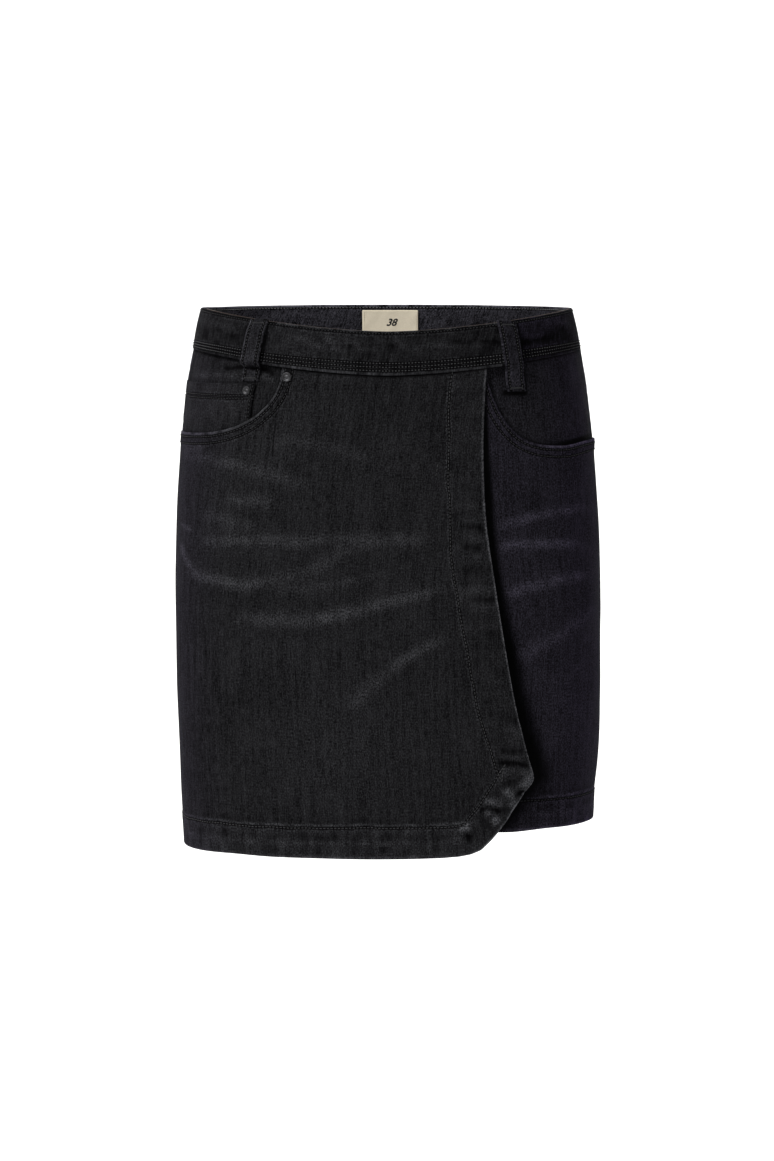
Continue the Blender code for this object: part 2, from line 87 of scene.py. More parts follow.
SIDE_SWELL = (               # height, how much fuller the right and the left side seam hang
    (-0.018, 0.0016, 0.0016), (-0.033, 0.0014, 0.0007), (-0.057, 0.0009, 0.0004),
    (-0.09, 0.0006, 0.0004), (-0.118, -0.0003, 0), (-0.166, 0.0003, 0.0008),
    (-0.203, -0.0004, 0.0015), (-0.239, -0.0016, 0.0011), (-0.287, -0.0022, 0.001),
    (-0.311, -0.0018, 0.0018), (-0.34, -0.0015, 0.0026), (-0.374, -0.0016, 0.002),
    (-0.392, -0.0015, 0.0007), (-0.402, -0.0014, 0.0001), (-0.44, -0.002, 0.0005),
)


def read(table, column, height):
    """One column of a table at any heights, on a smooth curve through its rows."""
    rows = np.array(sorted(table))
    z, value = rows[:, 0], rows[:, column]
    order = np.arange(len(z))
    after, before = np.minimum(order + 1, len(z) - 1), np.maximum(order - 1, 0)
    slope = (value[after] - value[before]) / (z[after] - z[before])
    height = np.clip(height, z[0], z[-1])
    i = np.clip(np.searchsorted(z, height) - 1, 0, len(z) - 2)
    span = z[i + 1] - z[i]
    s = (height - z[i]) / span
    return (value[i] * (1 + 2 * s) * (1 - s) ** 2 + value[i + 1] * s * s * (3 - 2 * s)
            + span * (slope[i] * s * (1 - s) ** 2 - slope[i + 1] * s * s * (1 - s)))


def ease(value):
    """0 to 1, smooth at both ends."""
    value = np.clip(value, 0.0, 1.0)
    return value * value * (3 - 2 * value)


def bell(value, width):
    """1 at zero, dying away smoothly to both sides."""
    return np.exp(-(value / width) ** 2)


def pairs(u, v):
    """Places on the cloth, as pairs of way round and height."""
    return np.stack(np.broadcast_arrays(u, v), -1)


def way_along(points):
    """How far along a line each of its points is."""
    steps = np.linalg.norm(np.diff(points, axis=-2), axis=-1)
    return np.concatenate([np.zeros_like(steps[..., :1]), steps.cumsum(axis=-1)], -1)


def straight(table, value):
    """Second column of a table at any values of its first, on straight lines between rows."""
    return np.interp(value, *np.array(table).T)


def swell(side, u, v):
    """Extra fullness beside the right (-1) or the left (1) side seam."""
    return read(SIDE_SWELL, 1 if side < 0 else 2, v) * ease(1 - u / SWELL_REACH)


def ring(middle, reach, depth, power, turn):
    """Point of a rounded level section: turn 0 is its side."""
    c, s = np.cos(turn), np.abs(np.sin(turn))
    return middle + reach * np.sign(c) * np.abs(c) ** (2 / power), depth * s ** (2 / power)


def section(face, height):
    """Half width, depth and roundness of the body's front (-1) or back (1) at a height."""
    columns = (HALF_WIDTH, FRONT_DEPTH if face < 0 else BACK_DEPTH, ROUNDNESS)
    return [read(SECTIONS, column, height) for column in columns]


def quarter(side, face):
    """One quarter of the shorts, from the side seam to the centre seam or the inseam."""
    def place(share, height):
        half_width, depth, power = section(face, height)
        fall = np.clip((FORK_TOP - height) / (FORK_TOP - CROTCH), 0, 1)
        below = np.maximum(0, (CROTCH - height) / (CROTCH - LEG_HEM))
        lap = CROTCH_LAP * ease((FORK_TOP - height) / LAP_START)
        inner = LEG_CLEARANCE + LEG_SPREAD * below - lap
        middle = (half_width + inner) / 2 * (1 - (1 - fall ** 2) ** FORK_ROUNDING)
        reach = half_width - middle
        ratio = np.clip((middle - inner) / reach, -1, 1)
        last = np.arccos(-np.sign(ratio) * np.abs(ratio) ** (power / 2))
        x, y = ring(middle, reach, depth, power, last * share)
        return np.stack([side * x, face * (y + SEAM_GAP / 2), height + 0 * x], -1)
    return Surface(place, side * face)


class Surface:
    """A worn surface measured as cloth is: u runs round it from the side seam, v is the height."""
    FINE = 600               # steps round the surface in its measure
    STEP = 0.004             # height between two measured levels
    LOWEST, HIGHEST = -0.452, 0.032

    def __init__(self, place, outward):
        self.place = place
        self.outward = outward
        self.levels = np.arange(self.LOWEST, self.HIGHEST, self.STEP)
        share = np.linspace(0, 1, self.FINE + 1)
        arcs = way_along(place(share[None, :], self.levels[:, None]))
        self.girths = arcs[:, -1]
        self.shares = np.array([np.interp(share, arc / arc[-1], share) for arc in arcs])

    def girth(self, v):
        """Whole length round the surface at a height."""
        return np.interp(v, self.levels, self.girths)

    def at(self, u, v):
        """The point of the surface itself."""
        u, v = np.broadcast_arrays(np.asarray(u, float), np.asarray(v, float))
        row = np.clip((v - self.levels[0]) / self.STEP, 0, len(self.levels) - 1.001)
        column = np.clip(u / self.girth(v), 0, 1) * (self.FINE - 0.001)
        i, j = row.astype(int), column.astype(int)
        f, g, table = row - i, column - j, self.shares
        low = table[i, j] * (1 - g) + table[i, j + 1] * g
        high = table[i + 1, j] * (1 - g) + table[i + 1, j + 1] * g
        return self.place(low * (1 - f) + high * f, v)

    def across(self, u, v):
        """How far a point is from the centre line, the wearer's right being negative."""
        return self.at(u, v)[..., 0]

    def waist_line(self, shares, height):
        """Shares of the girth at the waist, each with the height worked out from its place."""
        return pairs(shares, height(self.across(shares * self.girth(0.0), 0.0)))

    def normal(self, u, v):
        """Which way is out, square to the surface."""
        reach, step = self.girth(v), self.STEP / 2
        u = np.clip(u, 0, reach)
        ahead = self.at(np.minimum(u + step, reach), v) - self.at(np.maximum(u - step, 0), v)
        up = self.at(u, v + step) - self.at(u, v - step)
        out = np.cross(ahead, up) * self.outward
        return out / np.linalg.norm(out, axis=-1, keepdims=True)

    def lifted(self, u, v, lift):
        return self.at(u, v) + self.normal(u, v) * np.asarray(lift)[..., None]

    def reach(self, x, v):
        """Length round the surface to the point that is x from the centre line."""
        share = np.linspace(0, 1, self.FINE + 1)
        found = []
        for across, height in zip(*np.broadcast_arrays(np.atleast_1d(x), np.atleast_1d(v))):
            points = self.place(share, height)
            order = np.argsort(points[:, 0], kind="stable")
            found.append(np.interp(across, points[order, 0], way_along(points)[order]))
        return np.array(found)


def nearest(line, u, v):
    """Distance to a line on the cloth, and how far along the line that is."""
    line = np.asarray(line)
    steps = np.diff(line, axis=0)
    lengths = np.linalg.norm(steps, axis=1)
    best, along = np.full(np.shape(u), 9.0), np.zeros(np.shape(u))
    for (a, b), (du, dv), length, start in zip(line, steps, lengths, way_along(line)):
        s = np.clip(((u - a) * du + (v - b) * dv) / max(length, 1e-9) ** 2, 0, 1)
        gap = np.hypot(u - a - s * du, v - b - s * dv)
        closer = gap < best
        best = np.where(closer, gap, best)
        along = np.where(closer, start + s * length, along)
    return best, along


def even(line, count):
    """The same line with its points evenly spaced."""
    line = np.asarray(line)
    arc = way_along(line)
    marks = np.linspace(0, arc[-1], count)
    return np.stack([np.interp(marks, arc, line[:, k]) for k in range(line.shape[1])], -1)


def inset(line, gap):
    """The line moved sideways over the cloth, to its left as it runs."""
    line = even(line, 240)
    along = np.gradient(line, axis=0)
    along /= np.linalg.norm(along, axis=1, keepdims=True)
    sideways = pairs(-along[:, 1], along[:, 0])
    return line + sideways * np.broadcast_to(gap, len(line))[:, None]


def uneven(u, v, size, seed):
    """A soft unevenness between about -1 and 1, made of waves of a size."""
    total = 0.0
    for k in range(1, 6):
        turn = seed * 2.4 + k * 1.9
        pitch = 2 * math.pi / size * (0.55 + 0.23 * k)
        total = total + np.sin((u * math.cos(turn) + v * math.sin(turn)) * pitch + seed * k)
    return total / 3


def ridges(table, x, z):
    """Sum of soft ridges: ends, sideways bow, width and height of each are in the table."""
    total = np.zeros(np.shape(x))
    for x1, z1, x2, z2, bow, width, height in table:
        length = math.hypot(x2 - x1, z2 - z1)
        ax, az = (x2 - x1) / length, (z2 - z1) / length
        s = ((x - x1) * ax + (z - z1) * az) / length
        t = (z - z1) * ax - (x - x1) * az - bow * 4 * s * (1 - s)
        taper = ease(s / 0.3 + 0.3) * ease((1 - s) / 0.3 + 0.3)
        total += height * taper * bell(t, width)
    return total


def patch(top, foot, rows):
    """Grid of the cloth between a top line and a foot line with as many points."""
    rows = np.asarray(rows)[:, None, None]
    grid = np.asarray(top) * (1 - rows) + np.asarray(foot) * rows
    return grid[..., 0], grid[..., 1]


def add(name, data):
    """Puts a mesh, a light or a camera in the scene."""
    made = bpy.data.objects.new(name, data)
    bpy.context.scene.collection.objects.link(made)
    return made


def made_of(name, points, faces, material):
    """A piece made of points and faces, in one material."""
    mesh = bpy.data.meshes.new(name)
    mesh.from_pydata(points, [], faces)
    mesh.shade_smooth()
    mesh.materials.append(material)
    return add(name, mesh)


def cloth_mesh(name, outer, inner, material, marks, inside):
    """Closed wall of cloth with rounded edges; marks are values kept at every point."""
    rows, columns = outer.shape[:2]
    inside = np.broadcast_to(inside, (rows, columns)).ravel()
    order = np.arange(rows * columns).reshape(rows, columns)
    border = np.concatenate([order[0, :-1], order[:-1, -1], order[-1, :0:-1], order[:0:-1, 0]])
    r, c = border // columns, border % columns
    middle, half = (outer + inner) / 2, (outer - inner) / 2
    out = middle[r, c] - middle[np.clip(r, 1, rows - 2), np.clip(c, 1, columns - 2)]
    thick = np.linalg.norm(half[r, c], axis=1, keepdims=True)
    flat_half = half[r, c] / thick
    out -= flat_half * (out * flat_half).sum(axis=1, keepdims=True)
    out *= thick / np.linalg.norm(out, axis=1, keepdims=True)
    rim = [middle[r, c] + half[r, c] * math.cos(a) + out * math.sin(a)
           for a in np.radians((40, 90, 140))]
    points = np.concatenate([outer.reshape(-1, 3), inner.reshape(-1, 3), *rim])

    skin = np.stack([order[:-1, :-1], order[:-1, 1:], order[1:, 1:], order[1:, :-1]], -1)
    skin = skin.reshape(-1, 4)
    count, edge = rows * columns, len(border)
    bands = [border] + [2 * count + k * edge + np.arange(edge) for k in range(3)] + [border + count]
    quads = [skin, skin[:, ::-1] + count]
    for a, b in zip(bands, bands[1:]):
        quads.append(np.stack([a, b, np.roll(b, -1), np.roll(a, -1)], -1))
    quads = np.concatenate(quads)
    p = outer.reshape(-1, 3)[skin[0]]
    if np.dot(np.cross(p[1] - p[0], p[3] - p[0]), half[0, 0]) < 0:
        quads = quads[:, ::-1]

    piece = made_of(name, points.tolist(), quads.tolist(), material)

    def keep(mark, values):
        kind, item = ("FLOAT", "value") if values.ndim == 1 else ("FLOAT_VECTOR", "vector")
        layer = piece.data.attributes.new(mark, kind, "POINT")
        layer.data.foreach_set(item, values.ravel())

    for mark, values in marks.items():
        face = values.reshape(count, *values.shape[2:])
        under = face * (mark != "unworn")                # painted shade lies on the face only
        keep(mark, np.concatenate([face, under] + [face[border]] * 3))
    keep("inside", np.concatenate([np.zeros(count), inside, np.zeros(2 * edge), inside[border]]))
    return piece


FAR = 0.5                    # a distance that is of no account
SIDE_SHEEN_SPAN = (0.038, 0.115)   # painted purple sheen of the sides turning away: it changes over this way from a side seam
SIDE_SHADE = 0.060         # painted shade: the cloth is this much darker at the seam itself
SIDE_SHADE_REACH = 0.035        # over this way from the seam
INSIDE_PALER = 3.0           # the inside, which is not worn, shows its white weft: so many times paler


def plain(u, v):
    """No fade, no relief."""
    return np.zeros(np.shape(u))


def no_rows(u, v):
    return (FAR, FAR, FAR)


class Panel:
    """One cut of cloth: the surface it lies on, how far out, and how its face rises and dips.

    Edges are its worn folds, rows the distances to three rows of stitches, the sheen pair how
    much painted purple sheen it shows in the middle and at the side seam, the shade function the
    painted shade laid on its face, and inside how much paler its back is.
    """
    def __init__(self, node, surface, lift, wall, relief=plain, fade=plain, edges=(), seed=0.0,
                 rows=no_rows, cast=(0.0, 0.0), unworn=plain, inside=INSIDE_PALER):
        self.node, self.surface, self.lift, self.wall = node, surface, lift, wall
        self.relief, self.fade, self.edges, self.seed = relief, fade, edges, seed
        self.rows, self.cast, self.unworn, self.inside = rows, cast, unworn, inside

    def height(self, u, v):
        lift = self.lift(u, v) if callable(self.lift) else self.lift
        return lift + self.relief(u, v)

    def point(self, u, v, proud=0.0):
        return self.surface.lifted(u, v, self.height(u, v) + proud)

    def cut(self, u, v, material):
        """Makes the cloth over a grid and remembers the flat size of its cut."""
        height = self.height(u, v)
        wall = self.wall(u, v) if callable(self.wall) else self.wall
        gap = np.full(np.shape(u), 1.0)
        for line in self.edges:
            gap = np.minimum(gap, nearest(line, u, v)[0])
        rows = [np.broadcast_to(row, np.shape(u)) for row in self.rows(u, v)]
        middle, side = self.cast
        near, far = SIDE_SHEEN_SPAN
        marks = {"cloth": np.stack([u, v, np.full(np.shape(u), self.seed)], -1),
                 "edge": gap, "rows": np.stack(rows, -1),
                 # painted shade towards the side seam
                 "fade": (self.fade(u, v) - SIDE_SHADE * (side > middle)
                          * ease(1 - u / SIDE_SHADE_REACH)),
                 # painted purple sheen, from the middle's amount to the side seam's
                 "cast": side + (middle - side) * ease((u - near) / (far - near)),
                 # painted shade, laid on the face
                 "unworn": self.unworn(u, v)}
        piece = cloth_mesh(self.node + "_cloth", self.surface.lifted(u, v, height),
                           self.surface.lifted(u, v, height - wall), material, marks,
                           self.inside(u, v) if callable(self.inside) else self.inside)
        along, down = np.diff(u, axis=1)[:-1], np.diff(v, axis=0)[:, :-1]
        slip, drop = np.diff(u, axis=0)[:, :-1], np.diff(v, axis=1)[:-1]
        self.flat = (float(np.ptp(u)), float(np.ptp(v)))
        self.area = float(np.abs((along * down - slip * drop).sum()))
        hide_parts(self.node)
        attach(piece, "root")
        self.piece = piece

    def cut_between(self, top, foot, rows, material):
        """Cuts between two lines, which are shares of the girth and heights."""
        share, v = patch(top, foot, rows)
        self.cut(share * self.surface.girth(v), v, material)

    def declare(self, slot, held, rests_on, with_pieces=()):
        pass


STITCH = 0.0031              # pitch of the topstitching
THREAD = 0.00062             # its thread's diameter
STITCH_RISE = (-0.7, 0.25, 0.5, 0.25, -0.7)
STITCH_FULL = (0.5, 1.0, 1.0, 1.0, 0.5)


def stitching(name, panel, lines, material, pitch=STITCH, thread=THREAD, cover=0.84):
    """Topstitching along lines on a panel: one small arched thread for every stitch.

    Cover is the share of a stitch's pitch over which its thread shows.
    """
    sides, rings = 6, len(STITCH_RISE)
    spin = np.arange(sides) * 2 * math.pi / sides
    points, quads, first = [], [], 0
    for line in lines:
        arc = way_along(line)
        count = max(int(round(arc[-1] / pitch)), 1)
        length = arc[-1] / count
        marks = (np.arange(count)[:, None] + 0.5 + cover * np.linspace(-0.5, 0.5, rings)) * length
        u, v = (np.interp(marks, arc, line[:, k]) for k in (0, 1))
        v = v + 0.00008 * uneven(marks, 0, 0.007, 3)
        core = panel.point(u, v, np.array(STITCH_RISE) * thread)
        out = panel.surface.normal(u, v)
        ahead = np.gradient(core, axis=1)
        side = np.cross(ahead, out)
        side /= np.linalg.norm(side, axis=-1, keepdims=True)
        radius = (np.array(STITCH_FULL) * thread / 2)[None, :, None, None]
        ringed = (core[:, :, None] + radius * (out[:, :, None] * np.cos(spin)[:, None]
                                               + side[:, :, None] * np.sin(spin)[:, None]))
        points.append(ringed.reshape(-1, 3))
        base = first + np.arange(count)[:, None, None] * rings * sides
        k, n = np.arange(rings - 1)[:, None] * sides, np.arange(sides)
        corner = base + k + n
        beside = base + k + (n + 1) % sides
        quads.append(np.stack([corner, beside, beside + sides, corner + sides], -1).reshape(-1, 4))
        first += count * rings * sides
    piece = made_of(name, np.concatenate(points).tolist(), np.concatenate(quads).tolist(),
                    material)
    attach(piece, "root")
    return piece


def node(tree, kind, sockets, **settings):
    """Adds a shader node; a socket takes a value or another node's output."""
    made = tree.nodes.new("ShaderNode" + kind)
    for setting, value in settings.items():
        setattr(made, setting, value)
    for socket, value in sockets.items():
        if isinstance(value, bpy.types.NodeSocket):
            tree.links.new(value, made.inputs[socket])
        else:
            made.inputs[socket].default_value = value
    return made.outputs


def finish(name, roughness, specular):
    """A new material with its matt or metal shader."""
    material = bpy.data.materials.new(name)
    material.use_nodes = True
    shader = material.node_tree.nodes["Principled BSDF"]
    shader.inputs["Roughness"].default_value = roughness
    shader.inputs["Specular IOR Level"].default_value = specular
    return material, material.node_tree, shader


def scaled(tree, vector, scale):
    return node(tree, "VectorMath", {0: vector, 1: scale}, operation="MULTIPLY")["Vector"]


def grain(tree, vector, scale, detail=2.0):
    """Even noise, stretched to a scale."""
    return node(tree, "TexNoise", {"Vector": scaled(tree, vector, scale), "Scale": 1.0,
                                   "Detail": detail, "Roughness": 0.6})["Fac"]


def maths(tree, operation, *values):
    return node(tree, "Math", dict(enumerate(values)), operation=operation)["Value"]


def weighed(tree, terms, total):
    """Sum of sockets, each with its weight, added to a first value."""
    for socket, weight in terms:
        total = maths(tree, "MULTIPLY_ADD", socket, weight, total)
    return total


def blend(tree, share, dark, light):
    """A colour that lies between two others."""
    return node(tree, "Mix", {0: share, 6: dark, 7: light}, data_type="RGBA")[2]


def colored(tree, shader, color):
    tree.links.new(color, shader.inputs["Base Color"])


def roughened(tree, shader, height, strength, distance):
    """Relief too fine for the mesh: single yarns and scratches."""
    bump = node(tree, "Bump", {"Strength": strength, "Distance": distance, "Height": height})
    tree.links.new(bump["Normal"], shader.inputs["Normal"])


def kept(tree, mark, output="Fac"):
    """A value that was kept at every point of the cloth."""
    return node(tree, "Attribute", {}, attribute_name=mark)[output]


DENIM_DARK = (0.0008, 0.0008, 0.0009, 1)
DENIM_LIGHT = (0.0885, 0.0893, 0.0968, 1)
# painted purple sheen, shown where the cloth turns away towards the sides
SHEEN_PURPLE = (0.0985, 0.0810, 0.1420, 1)
DENIM_TONE = 0.086           # even share of the light colour in the dark one
YARN_TONE = 0.527            # what the yarns' own unevenness adds to it on average
TWILL = 640.0                # diagonal ribs, about 0.7 mm apart


def ramp(tree, value, low, high, start=0.0, end=1.0):
    """Goes from start to end while a value goes from low to high."""
    return node(tree, "MapRange", {0: value, 1: low, 2: high, 3: start, 4: end},
                clamp=True)["Result"]


def product(tree, total, *others):
    for other in others:
        total = maths(tree, "MULTIPLY", total, other)
    return total


def denim(name):
    """Washed black denim: slubs, flecks, a twill, speckled fades, worn edges and stitched rows,
    with painted shade and a painted purple sheen laid over its colour.
    """
    material, tree, shader = finish(name, 0.92, 0.04)
    shader.inputs["Sheen Weight"].default_value = 0.006
    shader.inputs["Sheen Roughness"].default_value = 0.5
    shader.inputs["Sheen Tint"].default_value = (0.62, 0.48, 0.95, 1)
    cloth, rows = (kept(tree, mark, "Vector") for mark in ("cloth", "rows"))
    fade, edge, inside, cast, unworn = (
        kept(tree, mark) for mark in ("fade", "edge", "inside", "cast", "unworn"))
    rows = node(tree, "VectorMath", {0: rows}, operation="ABSOLUTE")["Vector"]
    rows = node(tree, "SeparateXYZ", {0: rows})
    row = maths(tree, "MINIMUM", maths(tree, "MINIMUM", rows["X"], rows["Y"]), rows["Z"])
    groove = ramp(tree, row, 0.0004, 0.0013, 1.0, 0.0)
    ridge = product(tree, ramp(tree, row, 0.0008, 0.0016), ramp(tree, row, 0.0018, 0.0034, 1.0, 0.0))

    speckle = grain(tree, cloth, (980, 600, 1), 3.0)
    slub = grain(tree, cloth, (1150, 120, 1))
    weft = grain(tree, cloth, (110, 1100, 1))
    streak = grain(tree, cloth, (300, 16, 1))
    cloud = grain(tree, cloth, (34, 24, 1), 1.0)
    twill = node(tree, "TexWave", {"Vector": scaled(tree, cloth, (TWILL, TWILL, 0)), "Scale": 1.0,
                                   "Distortion": 0.6}, bands_direction="DIAGONAL")["Fac"]
    flecks = ramp(tree, speckle, 0.47, 0.66)
    patchy = ramp(tree, grain(tree, cloth, (130, 130, 1)), 0.36, 0.60, 0.15, 1.0)
    worn = product(tree, ramp(tree, edge, 0.0022, 0.0004), patchy,
                   ramp(tree, speckle, 0.35, 0.55, 0.4, 1.0))
    blotch = ramp(tree, grain(tree, cloth, (95, 75, 1)), 0.34, 0.62, 0.45, 1.35)
    faded = product(tree, fade, ramp(tree, speckle, 0.42, 0.62, 0.25, 1.6), blotch)
    ridge = product(tree, ridge, patchy, flecks)
    tone = weighed(tree, [(speckle, 0.35), (slub, 0.30), (weft, 0.13), (streak, 0.17),
                          (cloud, 0.07), (twill, 0.02), (flecks, 0.05), (worn, 0.40),
                          (faded, 1.0), (groove, -0.20), (ridge, 0.20)],
                   DENIM_TONE - YARN_TONE)
    # painted shade darkens the tone; the back is made paler
    tone = product(tree, tone, ramp(tree, unworn, 0.0, 1.0, 1.0, 0.0),
                   weighed(tree, [(inside, 1.0)], 1.0))
    # painted purple sheen mixed into the light colour
    light = blend(tree, cast, DENIM_LIGHT, SHEEN_PURPLE)
    colored(tree, shader, blend(tree, tone, DENIM_DARK, light))
    relief = weighed(tree, [(slub, 0.50), (weft, 0.30), (twill, 0.30), (speckle, 0.50),
                            (groove, -1.6)], 0.0)
    roughened(tree, shader, relief, 0.6, 0.0004)
    return material


def thread_finish(name, color, light):
    """Spun sewing thread: matt, its tone changing a little from stitch to stitch."""
    material, tree, shader = finish(name, 0.75, 0.2)
    place = node(tree, "TexCoord", {})["Object"]
    tone = grain(tree, place, (420, 420, 420), 1.0)
    colored(tree, shader, blend(tree, tone, color, light))
    return material


black_denim = denim("washed_black_denim")
black_thread = thread_finish("black_thread", (0.004, 0.004, 0.0045, 1), (0.030, 0.030, 0.032, 1))
grey_thread = thread_finish("grey_cotton", (0.014, 0.014, 0.015, 1), (0.060, 0.060, 0.062, 1))

# Waistline on the panels: height of the band's edges at the centre and the sides.
WAIST_REACH = 0.163          # from the centre line to a side seam
BAND_DEPTH = 0.0350
BAND_TAPER = 0.0003          # the band is this much narrower at the sides
FRONT_DIP, SIDE_TOP, BACK_TOP = 0.0004, 0.0184, 0.0195


def to_side(x):
    """0 at the centre line, 1 at the side seams."""
    return np.minimum(np.abs(x) / WAIST_REACH, 1)


def front_top(x):
    """Height of the waist's edge; it dips at the centre of the front."""
    return FRONT_DIP + (SIDE_TOP - FRONT_DIP) * to_side(x) ** 1.6


def back_top(x):
    return BACK_TOP + (SIDE_TOP - BACK_TOP) * to_side(x) ** 2


def front_seam(x):
    return front_top(x) - BAND_DEPTH + BAND_TAPER * to_side(x)


def wrap_band_seam(x):
    """The wrap's own band hangs a little lower in the middle."""
    return front_seam(x) - 0.0013 * ease((0.142 - np.abs(x)) / 0.050)


def painted_band_shadow(v, seam):
    """Painted shadow on the cloth right below a band's edge."""
    return 0.9 * (1 - ease((seam - v - 0.0014) / 0.0016))


def back_seam(x):
    return back_top(x) - BAND_DEPTH + BAND_TAPER * to_side(x)


def sewn_top(surface, seam, shares):
    """Top line of a panel sewn into the waistband, as shares of the girth and heights."""
    return surface.waist_line(shares, lambda x: seam(x) - TOP_GAP)


def hem_rise(d, turn, depth=0.0005):
    """Outer face of a turned hem: a thicker border that dips at its stitching."""
    return (depth * (1 - ease((d - turn + 0.0005) / 0.0022))
            - 0.00035 * bell(d - turn, 0.0012))


HEM_EXTRA = 0.0008           # a leg's cloth is this much thicker where it is turned up


def hemmed_wall(u, v):
    return CLOTH + HEM_EXTRA * (1 - ease((v - LEG_HEM - HEM_TURN) / 0.002))


ROPE_PITCH = 0.0115          # from one slanting ripple of a hem to the next


def roping(d, along, turn, seed, height=0.00032):
    """Slanting ripples that a hem takes on between its edge and its stitching."""
    waves = np.sin((along + 0.7 * d) * 2 * math.pi / ROPE_PITCH + 1.6 * uneven(along, d, 0.06, seed))
    inside = ease(d / 0.004) * (1 - ease((d - 0.75 * turn) / (0.35 * turn)))
    return height * waves * inside * (0.55 + 0.45 * uneven(along, 0, 0.045, seed + 1))


def seam_pucker(d, along, seed, height=0.0003):
    """Small ripples that run off a row of stitching and die away."""
    waves = uneven(along, 0.0, 0.013, seed) * (0.6 + 0.4 * uneven(along, 0.0, 0.07, seed + 2))
    return height * waves * bell(d, 0.008)


HEM_WEAR = (                 # height as a share of the turning, width, how much paler
    (0, 0.0032, 0.06), (0.5, 0.0016, 0.05), (0.72, 0.0024, -0.03), (1.1, 0.0008, 0.15),
    (1.24, 0.0022, -0.025),
)


def hem_wear(d, turn, along, seed):
    """A worn hem is paler at its fold, beside its stitching and down its small pleats."""
    patchy = 0.75 + 0.55 * uneven(along, 0.0, 0.022, seed)
    lines = sum(height * bell(d - share * turn, width)
                for share, width, height in HEM_WEAR)
    pleats = 0.018 + 0.056 * uneven(along, 0.18 * d, 0.011, seed + 2)
    return 1.25 * patchy * lines + pleats * (1 - ease((d / turn - 0.85) / 0.12))


# Creases and fades of the backs: ends (x, z), bow, width and height.
BACK_CREASES = {
    1: ((0.020, -0.205, 0.110, -0.232, -0.006, 0.008, 0.0011),
        (0.016, -0.225, 0.085, -0.262, 0.004, 0.007, 0.0010),
        (0.040, -0.262, 0.150, -0.250, 0.008, 0.010, -0.0005),
        (0.100, -0.180, 0.172, -0.160, 0.004, 0.009, 0.0009),
        (0.060, -0.330, 0.140, -0.318, -0.005, 0.012, 0.0007)),
    -1: ((-0.018, -0.212, -0.098, -0.236, 0.005, 0.007, 0.0012),
         (-0.022, -0.236, -0.120, -0.256, -0.003, 0.009, 0.0009),
         (-0.050, -0.276, -0.135, -0.268, -0.006, 0.010, -0.0005),
         (-0.110, -0.150, -0.174, -0.172, -0.004, 0.008, 0.0008),
         (-0.055, -0.350, -0.150, -0.336, 0.006, 0.012, 0.0008)),
}
BACK_FADE = ((0.02, -0.150, 0.15, -0.150, 0.010, 0.050, 0.10),)
FELL_ROWS = (0.0020, 0.0082)  # stitching on the left back, away from the centre seam
NO_ROW = 9.0                 # puts a row out of reach where there is none
COLUMNS = np.linspace(0, 1, 84)
ROWS = np.concatenate([np.linspace(0, 0.92, 150, endpoint=False), np.linspace(0.92, 1, 32)])


def leg_hem_line(surface):
    return pairs(np.linspace(0, 1, 60) * surface.girth(LEG_HEM), LEG_HEM)


def back_panel(side):
    surface = quarter(side, 1)
    hem = leg_hem_line(surface)

    def lift(u, v):
        return (WRAP_LIFT if side < 0 else 0.0) * ease(1 - u / STEP_REACH) + swell(side, u, v)

    def relief(u, v):
        d = v - LEG_HEM
        seam = np.minimum(u, surface.girth(v) - u)
        return (ridges(BACK_CREASES[side], surface.across(u, v), v) + hem_rise(d, HEM_TURN)
                + roping(d, u, HEM_TURN, 3 + side) + seam_pucker(seam, v, 7 + side)
                + 0.0005 * uneven(u, v, 0.11, 5 + side) - 0.0004 * bell(seam, 0.0015))

    def fade(u, v):
        x = surface.across(u, v)
        # crease crests are paler, as worn, their hollows a little darker: painted shade; the right
        # back has painted shade near its side seam
        return (ridges(BACK_FADE, np.abs(x), v)
                + 90 * np.maximum(ridges(BACK_CREASES[side], x, v), -0.0001)
                + hem_wear(v - LEG_HEM, HEM_TURN, u, 12 + side)
                - 0.010 * (side < 0) * ease(1 - u / 0.055))

    def stitched(u, v):
        centre = surface.girth(v) - u + NO_ROW * (side < 0) + NO_ROW * (v < CROTCH)
        return (v - LEG_HEM - HEM_TURN, centre - FELL_ROWS[0], centre - FELL_ROWS[1])

    levels = np.linspace(LEG_HEM, -0.02, 80)
    seams = [pairs(share * surface.girth(levels), levels) for share in (0, 1)]
    panel = Panel("back_left" if side > 0 else "back_right", surface, lift,
                  lambda u, v: hemmed_wall(u, v) + SEAM_EXTRA * ease(1 - u / 0.008),
                  relief, fade, seams + [hem], 10.0 + side, stitched,
                  (0.15, 0.95 if side > 0 else 0.5))
    panel.cut_between(sewn_top(surface, back_seam, COLUMNS),
                      pairs(COLUMNS, LEG_HEM + EDGE_ROLL), ROWS, black_denim)
    levels = np.linspace(-0.020, CROTCH + 0.004, 160)
    centre = pairs(surface.girth(levels), levels)
    rows = [inset(hem, HEM_TURN)]
    if side > 0:
        rows += [centre - (gap, 0) for gap in FELL_ROWS]
    thread = stitching(panel.node + "_stitching", panel, rows, black_thread)
    panel.declare("black_denim", "hung", ["waistband_back"], [thread])


back_panel(1)
back_panel(-1)

# ------------------------------------------------------------------ left pocket and left front
# The pocket's back is a piece of the same denim behind a scooped mouth. The front has the mouth
# cut out, turned under and topstitched twice, and it shows from the wrap's free edge to the side.

